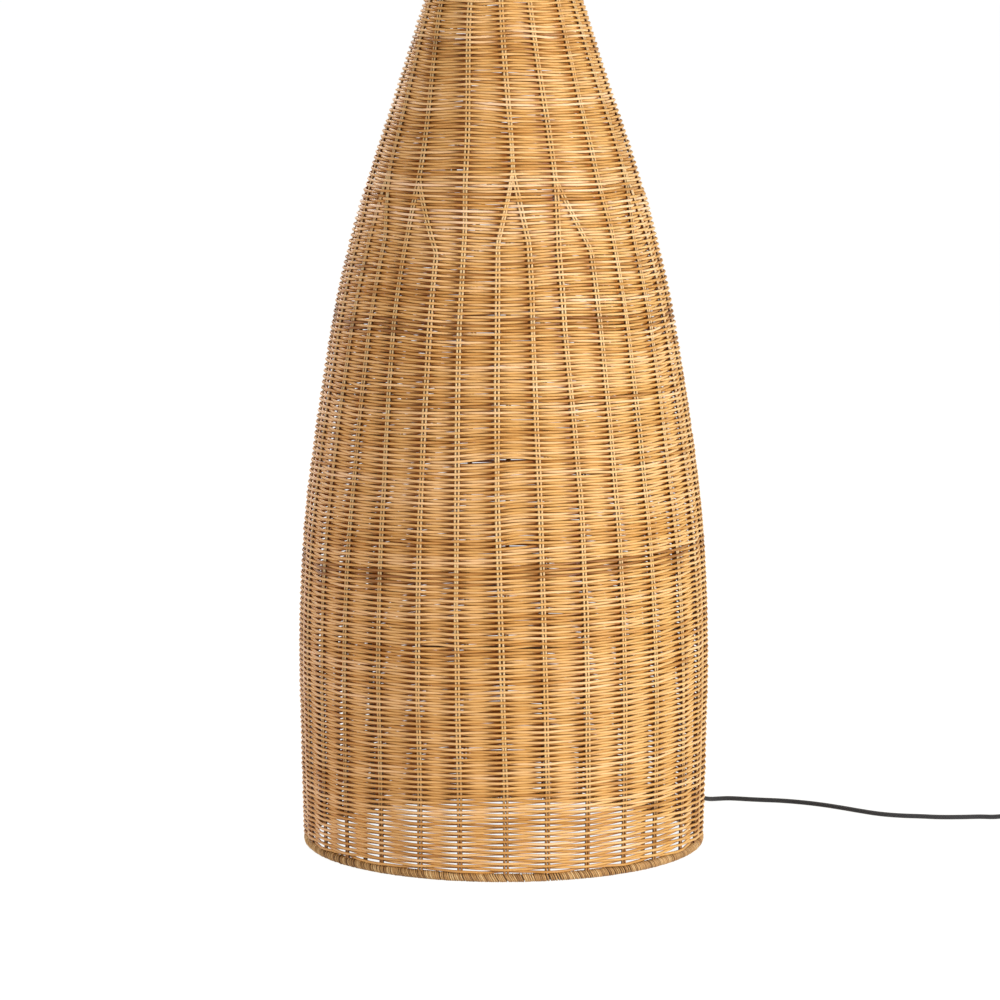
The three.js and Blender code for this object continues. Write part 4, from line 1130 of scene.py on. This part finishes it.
def make_holder():
    cap = [(0.0053, 0.0), (0.011, 0.0), (0.0118, 0.0004), (0.0192, 0.0068), (0.0195, 0.0076),
           (0.0195, 0.0236), (0.0192, 0.024), (0.0175, 0.024), (0.0175, 0.008), (0.0105, 0.002),
           (0.0053, 0.002)]
    mesh_piece("holder_lower_half", turned_shape(cap, 64, HOLDER_BOTTOM), HOLDER_PLASTIC, "lamp",
               "holder_plastic", "holder_cap")
    skirt = ([(0.0175, 0.0243), (0.0192, 0.0243), (0.0195, 0.0246), (0.0195, 0.0303), (0.0236, 0.0303),
              (0.024, 0.0307), (0.024, 0.0321), (0.0236, 0.0325), (0.0195, 0.0325), (0.0195, 0.0335)]
             + ridged(0.0338, 0.0552, 0.0195, 0.0007, 8)
             + [(0.019, 0.056), (0.0186, 0.0563), (0.0175, 0.0563)])
    mesh_piece("holder_upper_half", turned_shape(skirt, 64, HOLDER_BOTTOM), HOLDER_PLASTIC, "lamp",
               "holder_plastic", "holder_skirt")
    nut = turned_shape([
        (0.0198, 0.0351), (0.0241, 0.0351), (0.0245, 0.0355), (0.0245, 0.0364), (0.0239, 0.0368),
        (0.0239, 0.0427), (0.0236, 0.0431), (0.0198, 0.0431)], 96, HOLDER_BOTTOM)
    for vert in nut.verts:
        far = math.hypot(vert.co.x, vert.co.y)
        if far > 0.0237 and vert.co.z - HOLDER_BOTTOM > 0.0367:
            knurl = 1 - KNURL_DEPTH * (0.5 + 0.5 * math.cos(KNURLS * math.atan2(vert.co.y, vert.co.x)))
            vert.co.x *= knurl
            vert.co.y *= knurl
    mesh_piece("shade_nut_knurled", nut, HOLDER_PLASTIC, "ring_nut", "holder_plastic", "shade_ring_nut")


def make_bulb():
    cap = ([(0.0, 0.027), (0.0088, 0.027), (0.0094, 0.0275), (0.0122, 0.0302)]
           + ridged(0.0312, 0.0462, 0.0131, 0.0011, 4)
           + [(0.0129, 0.0475), (0.0131, 0.0484), (0.0131, 0.0505), (0.0128, 0.051), (0.0, 0.051)])
    mesh_piece("bulb_screw_cap", turned_shape(cap, 48, HOLDER_BOTTOM), ALUMINIUM, "bulb", "bulb_metal",
               "bulb_cap")
    globe = [(GLOBE_RADIUS * math.cos(turn), GLOBE_CENTRE + GLOBE_RADIUS * math.sin(turn))
             for turn in np.linspace(-0.24 * math.pi, math.pi / 2, 30)[:-1]]
    wide, high = globe[0]
    neck = [(GLASS_NECK + (wide - GLASS_NECK) * eased(share),
             GLASS_NECK_TOP + (high - GLASS_NECK_TOP) * share) for share in np.linspace(0, 1, 8)[:-1]]
    glass = ([(0.0, GLOBE_BOTTOM), (0.0123, GLOBE_BOTTOM), (GLASS_NECK, GLOBE_BOTTOM + 0.0004)] + neck + globe
             + [(0.0, GLOBE_CENTRE + GLOBE_RADIUS)])
    mesh_piece("bulb_globe", turned_shape(glass, 72, HOLDER_BOTTOM), OPAL, "bulb", "bulb_glass",
               "bulb_glass")


# Shade: linen on a stiff liner, with a hem turned over each wire and a lapped seam at the back
SHADE_SEAT = HOLDER_BOTTOM + 0.0328
SHADE_BOTTOM = SHADE_SEAT - 0.0437
SHADE_HEIGHT = 0.33
SHADE_WIDE = 0.265
SHADE_NARROW = 0.205
SHADE_STEPS = 144
HEM = 0.012
LINEN_THICK = 0.0008
LINER_THICK = 0.0006
SEAM_HALF = 0.0052
WIRE_RADIUS = 0.0015
WIRE_SIDES = 12
WIRE_RISE = 0.0027
ARM_START = 0.0246


def shade_radius(height):
    return SHADE_WIDE + (SHADE_NARROW - SHADE_WIDE) * (height - SHADE_BOTTOM) / SHADE_HEIGHT


def shade_wall(shares, inset):
    """Places up the shade's wall, at an inset from its outside."""
    heights = [SHADE_BOTTOM + SHADE_HEIGHT * share for share in shares]
    return [(shade_radius(height) - inset, height) for height in heights]


def make_shade():
    low, high = SHADE_BOTTOM, SHADE_BOTTOM + SHADE_HEIGHT
    slant = math.hypot(SHADE_HEIGHT, SHADE_WIDE - SHADE_NARROW)
    hem = HEM / slant
    fold = hem * np.array([0.15, 0.5, 0.9])
    outer = ([(SHADE_WIDE - 0.0006, low - 0.0001), (SHADE_WIDE + 0.0001, low + 0.0004)]
             + shade_wall(fold, -0.0003)
             + shade_wall([hem, *np.linspace(0.1, 0.9, 9), 1 - hem], 0.0)
             + shade_wall(1 - fold[::-1], -0.0003)
             + [(SHADE_NARROW + 0.0001, high - 0.0004), (SHADE_NARROW - 0.0006, high + 0.0001)])
    inner = shade_wall(np.linspace(0.995, 0.005, 13), 0.00085)
    linen = mesh_piece("shade_linen_cover", turned_shape(outer + inner, SHADE_STEPS), LINEN, "shade", "linen",
                       "shade_linen")
    seam = turned_shape(shade_wall(np.linspace(0.002, 0.998, 12), 0.0002)
                        + shade_wall(np.linspace(0.998, 0.002, 12), -0.0007), 10 * SHADE_STEPS)
    far = [v for v in seam.verts if not (abs(v.co.x) < SEAM_HALF and v.co.y > 0)]
    bmesh.ops.delete(seam, geom=far, context="VERTS")
    bmesh.ops.holes_fill(seam, edges=seam.edges[:], sides=0)
    strip = mesh_piece("shade_back_seam", seam, LINEN, "shade", "linen")


def make_shade_frame():
    inset = (LINEN_THICK + JOINT_GAP + LINER_THICK
             + (WIRE_RADIUS + JOINT_GAP) * math.hypot(1, (SHADE_WIDE - SHADE_NARROW) / SHADE_HEIGHT))
    low = SHADE_BOTTOM + WIRE_RISE
    high = SHADE_BOTTOM + SHADE_HEIGHT - WIRE_RISE
    for name, height, replaced in (("shade_lower_wire", low, "shade_bottom_ring"),
                                   ("shade_upper_wire", high, "shade_top_ring")):
        turns = [2 * math.pi * k / WIRE_SIDES for k in range(WIRE_SIDES)]
        wire = [(shade_radius(height) - inset + WIRE_RADIUS * math.cos(turn), WIRE_RADIUS * math.sin(turn))
                for turn in turns]
        mesh_piece(name, turned_shape(wire, SHADE_STEPS, height), WHITE_WIRE, "shade", "white_wire", replaced)
    plate = [(0.0198, 0.0), (0.0244, 0.0), (0.0248, 0.0004), (0.0248, 0.0016), (0.0244, 0.002),
             (0.0198, 0.002)]
    mesh_piece("shade_fitting_ring", turned_shape(plate, 72, SHADE_SEAT), WHITE_WIRE, "shade",
               "white_wire", "shade_centre_ring")
    start = SHADE_SEAT + 0.001
    reach = shade_radius(low) - inset - 0.0016 - ARM_START
    for i in range(3):
        degrees = 90 + 120 * i
        line = [at_angle(ARM_START, degrees, start),
                at_angle(ARM_START + 0.004, degrees, SHADE_SEAT + 0.0008)]
        line += [at_angle(ARM_START + reach * share, degrees, start + (low - start) * share)
                 for share in np.linspace(0.1, 1, 12)]
        arm = tube_mesh(f"shade_arm_{i + 1}", [[tuple(p) for p in line]], WIRE_RADIUS, WIRE_SIDES)
        arm.data.materials.append(WHITE_WIRE.material)
        bind(arm, "shade", "white_wire", f"spider_arm_{i + 1}")


make_neck()
make_holder()
make_bulb()
make_shade()
make_shade_frame()


# Gland at the back, and the tapered sleeves where the cord goes in and out of things
SLEEVE_TIP = 0.0033
SLEEVE_STEPS = 40
GROOVE_DEPTH = 0.0007
GLAND_HEIGHT = 0.022
GLAND_ANGLE = 40
GLAND_FACE = float(body_radius(GLAND_HEIGHT)) + JOINT_GAP
WALL_THICK = 0.0078
NUT_THICK = 0.004
TAIL_PAST_NUT = 0.002
GLAND_TAIL = float(body_radius(GLAND_HEIGHT)) - WALL_THICK - JOINT_GAP - NUT_THICK - TAIL_PAST_NUT


def sleeve_profile(root, length, grooves, start=0.0):
    """Half profile of a tapered strain relief with flexing grooves round it."""
    places = [(0.0, start), (root - 0.0004, start), (root, start + 0.0004)]
    wide = 0.72 / grooves
    for k in range(grooves):
        for share, depth in ((0.0, 0), (0.3, 0), (0.42, GROOVE_DEPTH), (0.72, GROOVE_DEPTH), (0.84, 0)):
            at = 0.12 + wide * (k + share)
            places.append((root + (SLEEVE_TIP - root) * at - depth, start + length * at))
    places += [(root + (SLEEVE_TIP - root) * 0.86, start + length * 0.86),
               (SLEEVE_TIP, start + length - 0.0004), (SLEEVE_TIP - 0.0004, start + length),
               (0.0, start + length)]
    return places


def sleeve(name, root, length, place, towards, replaced):
    """A strain relief from place towards a direction."""
    shape = turned_shape(sleeve_profile(root, length, 5), SLEEVE_STEPS)
    mesh_piece(name, moved(shape, aimed(place, towards)), BLACK_PLASTIC, "lamp", "black_plastic", replaced)


def make_gland():
    face = GLAND_FACE
    profile = [(0.0, GLAND_TAIL), (0.0046, GLAND_TAIL), (0.005, GLAND_TAIL + 0.0004), (0.005, face),
               (0.0085, face), (0.009, face + 0.0004), (0.009, face + 0.0015), (0.0085, face + 0.002),
               (0.0058, face + 0.002)]
    profile += sleeve_profile(0.0055, 0.027, 7, face + 0.002)[2:]
    stand = aimed((0, 0, GLAND_HEIGHT), at_angle(1, GLAND_ANGLE, 0))
    mesh_piece("gland_with_relief", moved(turned_shape(profile, SLEEVE_STEPS), stand), BLACK_PLASTIC,
               "lamp", "black_plastic", "cord_gland")


# Foot switch
SWITCH_END = 0.0393


def make_switch():
    place = Matrix.Translation((SWITCH_AXIS[0], SWITCH_AXIS[1], 0))
    base = stacked_shape([
        (0.0744, 0.0304, 0.0112, 0.0), (0.0768, 0.0328, 0.0124, 0.0004), (0.078, 0.034, 0.013, 0.0016),
        (0.078, 0.034, 0.013, 0.0088), (0.0776, 0.0336, 0.0128, 0.009)])
    mesh_piece("switch_lower_shell", moved(base, place), BLACK_PLASTIC, "lamp", "black_plastic",
               "switch_base")
    cover = stacked_shape([
        (0.0776, 0.0336, 0.0128, 0.0093), (0.078, 0.034, 0.013, 0.0095), (0.078, 0.034, 0.013, 0.0168),
        (0.0768, 0.0328, 0.0124, 0.0188), (0.0738, 0.0298, 0.011, 0.02), (0.0706, 0.0268, 0.0096, 0.0203),
        (0.0346, 0.0226, 0.0108, 0.0203), (0.0332, 0.0212, 0.0101, 0.0201), (0.0326, 0.0206, 0.0098, 0.0196),
        (0.0326, 0.0206, 0.0098, 0.0184), (0.0362, 0.0242, 0.0116, 0.0183), (0.0362, 0.0242, 0.0116, 0.0125)])
    mesh_piece("switch_upper_shell", moved(cover, place), BLACK_PLASTIC, "lamp", "black_plastic",
               "switch_cover", "switch_block")
    button = stacked_shape([
        (0.032, 0.02, 0.0095, 0.0163), (0.0356, 0.0236, 0.0113, 0.0165), (0.0356, 0.0236, 0.0113, 0.018),
        (0.032, 0.02, 0.0095, 0.018), (0.032, 0.02, 0.0095, 0.0233), (0.0312, 0.0192, 0.0091, 0.024),
        (0.0296, 0.0176, 0.0083, 0.0243), (0.022, 0.0104, 0.005, 0.0241), (0.014, 0.0044, 0.002, 0.0239)])
    mesh_piece("switch_foot_button", moved(button, place), BUTTON_PLASTIC, "button", "button_plastic",
               "switch_button")
    for way, side in (("in", -1), ("out", 1)):
        start = Vector(SWITCH_AXIS) + Vector((side * SWITCH_END, 0, 0))
        sleeve(f"switch_sleeve_{way}", 0.0056, 0.02, start, (side, 0, 0), f"switch_relief_{way}")


# Plug
PLUG_BODY = 0.036
PLUG_SLEEVE = 0.022


def make_plug():
    end = Vector(PLUG_EXIT) - Vector((JOINT_GAP, 0, 0))
    front = end - Vector((PLUG_SLEEVE + JOINT_GAP + PLUG_BODY, 0, 0))
    body = stacked_shape([
        (0.0118, 0.033, 0.0026, 0.0), (0.0132, 0.0344, 0.0036, 0.0004), (0.0138, 0.035, 0.0042, 0.0014),
        (0.0138, 0.035, 0.0042, 0.013), (0.0136, 0.0325, 0.0046, 0.0165), (0.0134, 0.0268, 0.005, 0.0225),
        (0.013, 0.0208, 0.0052, 0.029), (0.0126, 0.0158, 0.0052, 0.0338), (0.0118, 0.0142, 0.005, 0.0354),
        (0.0104, 0.0128, 0.0044, 0.036)])
    stand = Matrix.Translation(front) @ Matrix.Rotation(math.pi / 2, 4, "Y")
    mesh_piece("plug_moulding", moved(body, stand), BLACK_PLASTIC, "lamp", "black_plastic", "plug_body")
    sleeve("plug_sleeve", 0.0058, PLUG_SLEEVE, end - Vector((PLUG_SLEEVE, 0, 0)), (1, 0, 0), "plug_relief")
    for i in (1, 2):
        low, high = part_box(f"plug_pin_{i}")
        radius, length = (high.y - low.y) / 2, high.x - low.x
        back = Vector((high.x, (high.y + low.y) / 2, (high.z + low.z) / 2))
        pin = turned_shape([
            (0.0, 0.0), (radius, 0.0), (radius, length - 0.0026), (radius * 0.92, length - 0.0016),
            (radius * 0.72, length - 0.0006), (radius * 0.4, length - 0.0001), (0.0, length)], 32)
        mesh_piece(f"plug_pin_turned_{i}", moved(pin, aimed(back, (-1, 0, 0))), NICKEL, "lamp", "pin_metal",
                   f"plug_pin_{i}")


# Strap round the coil
STRAP_CORNER = 0.0026
STRAP_THICK = 0.0008


def make_tie():
    low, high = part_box("coil_tie")
    size = high - low
    strap = stacked_shape([(size.x, size.z, STRAP_CORNER, side * size.y / 2) for side in (-1, 1)])
    lids = [face for face in strap.faces if abs(face.normal.z) > 0.9]
    bmesh.ops.delete(strap, geom=lids, context="FACES_ONLY")
    bmesh.ops.recalc_face_normals(strap, faces=strap.faces[:])
    bmesh.ops.solidify(strap, geom=strap.faces[:], thickness=STRAP_THICK)
    stand = Matrix.Translation((low + high) / 2) @ Matrix.Rotation(math.pi / 2, 4, "X")
    mesh_piece("coil_strap", moved(strap, stand), STRAP, "lamp", "black_plastic", "coil_tie")


make_gland()
make_switch()
make_plug()
make_tie()


# Lead inside the body: down the threaded tube, out to the first rib, down it and to the gland
RIB_INSET = 0.011
RIB_ANGLE = 45
RIB_RADIUS = 0.0025
CLIP_REACH = 0.004
CLIP_TOP = 0.87
CLIP_BOTTOM = 0.16
LEAD_BEND = 0.024
LEAD_TOP = HOLDER_BOTTOM + 0.0137
TUBE_END = NECK_HOOP_HEIGHT - 0.0015 - 0.012


def lead_radius(height):
    """How far the lead runs from the axis, behind the rib and its clips."""
    away = RIB_RADIUS + JOINT_GAP + CLIP_REACH + JOINT_GAP + CORD_RADIUS + JOINT_GAP
    stretch = math.hypot(1, float(body_slope(height, BODY_HEIGHT / 200)))
    return float(body_radius(height)) - RIB_INSET - away * stretch


def make_lead():
    run_top = CLIP_TOP + 2 * LEAD_BEND
    run_end = CLIP_BOTTOM - 2 * LEAD_BEND
    points = [at_angle(0, 0, height) for height in (LEAD_TOP, (LEAD_TOP + TUBE_END) / 2, TUBE_END)]
    for drop, out in ((0.12, 0.01), (0.35, 0.2), (0.6, 0.55), (0.82, 0.85)):
        points.append(at_angle(lead_radius(run_top) * out, RIB_ANGLE, TUBE_END + (run_top - TUBE_END) * drop))
    points += [at_angle(lead_radius(height), RIB_ANGLE, height)
               for height in np.linspace(run_top, run_end, 29)]
    end = GLAND_TAIL - JOINT_GAP
    bend = end - 0.006 - LEAD_BEND
    low = GLAND_HEIGHT + LEAD_BEND
    halfway = (RIB_ANGLE + GLAND_ANGLE) / 2
    points.append(at_angle((lead_radius(run_end) + bend) / 2, halfway, (run_end + low) / 2))
    for turn in np.linspace(0, math.pi / 2, 5):
        points.append(at_angle(bend + LEAD_BEND * (1 - math.cos(turn)), GLAND_ANGLE,
                               low - LEAD_BEND * math.sin(turn)))
    points.append(at_angle(end, GLAND_ANGLE, GLAND_HEIGHT))
    lay_cord("inner_lead_flex", points, "braid_inner", "inner_lead")


make_lead()


# Finishes of the solids that show as they are
SHOWN = {
    BROWN_STEEL: ["base_hoop", "rib_1", "rib_2", "rib_3", "rib_4", "lower_hoop", "middle_hoop", "upper_hoop",
                  "top_hoop", "neck_plate"],
    ZINC: ["lower_nut", "lock_nut", "threaded_tube"],
    CERAMIC: ["holder_insert"],
    BRASS: ["thread_shell", "centre_contact", "bulb_tip"],
    LINER: ["shade_liner"],
    BLACK_PLASTIC: ["lead_clip_1", "lead_clip_2", "lead_clip_3", "lead_clip_4", "gland_nut"],
}
for shown, names in SHOWN.items():
    for name in names:
        for held in nodes[name].material_slots:
            held.material = shown.material


# Floor and light
FLOOR_HALF = 60
FLOOR_GLOW = 1.12
# Share of the glow in what the camera sees of the floor
GLOW_SHARE = 0.85
# Strength of the sky as it lights the lamp, then as the camera sees it
SKY_LEVELS = (0.45, 1.0)


def make_stage():
    shape = bmesh.new()
    bmesh.ops.create_grid(shape, x_segments=1, y_segments=1, size=FLOOR_HALF)
    mesh = bpy.data.meshes.new("floor")
    shape.to_mesh(mesh)
    shape.free()
    piece = link(bpy.data.objects.new("floor", mesh))
    finish = Finish("pale_floor", Base_Color=tone(250, 250, 250), Roughness=0.9, Specular_IOR_Level=0.0)
    path = finish.add("ShaderNodeLightPath")
    seen = path.value("Is Camera Ray").maths("MAXIMUM", path.value("Is Glossy Ray"))
    seen = seen.maths("MAXIMUM", path.value("Is Transmission Ray"))
    glow = finish.add("ShaderNodeEmission", None, {"Color": (1, 1, 0.985, 1), "Strength": FLOOR_GLOW})
    surface = Node(finish, finish.surface).value(0)
    both = finish.add("ShaderNodeMixShader", None, {0: seen * GLOW_SHARE, 1: surface, 2: glow.value(0)})
    finish.link(finish.tree.nodes["Material Output"].inputs["Surface"], both.value(0))
    mesh.materials.append(finish.material)


def make_sky():
    world = bpy.data.worlds.new("studio")
    bpy.context.scene.world = world
    world.use_nodes = True
    tree = world.node_tree
    back = tree.nodes["Background"]
    back.inputs["Color"].default_value = (1, 1, 1, 1)
    path = tree.nodes.new("ShaderNodeLightPath")
    level = tree.nodes.new("ShaderNodeMix")
    level.data_type = "FLOAT"
    level.inputs[2].default_value, level.inputs[3].default_value = SKY_LEVELS
    both = tree.nodes.new("ShaderNodeMath")
    both.operation = "MAXIMUM"
    tree.links.new(path.outputs["Is Camera Ray"], both.inputs[0])
    tree.links.new(path.outputs["Is Transmission Ray"], both.inputs[1])
    tree.links.new(both.outputs[0], level.inputs[0])
    tree.links.new(level.outputs[0], back.inputs["Strength"])


def area_lamp(name, place, aim, size, power, colour=(1, 1, 1)):
    data = bpy.data.lights.new(name, "AREA")
    data.shape = "RECTANGLE"
    data.size, data.size_y = size
    data.energy = power
    data.color = colour
    lamp = link(bpy.data.objects.new(name, data))
    lamp.location = place
    lamp.rotation_euler = (Vector(aim) - Vector(place)).to_track_quat("-Z", "Y").to_euler()


make_stage()
make_sky()
area_lamp("key_light", (4.2, -3.0, 1.2), (0, 0, 0.6), (0.8, 1.7), 205, (1.0, 0.985, 0.96))
area_lamp("left_light", (-2.4, -3.4, 2.2), (0, 0, 0.6), (1.8, 2.4), 52, (1.0, 0.96, 0.9))
area_lamp("top_light", (0, 0.4, 4.2), (0, 0, 0.6), (2.4, 2.4), 25)
area_lamp("back_light", (-1.6, 3.6, 2.4), (0, 0, 0.7), (2.0, 2.0), 50)
bpy.context.scene.view_settings.view_transform = "Standard"
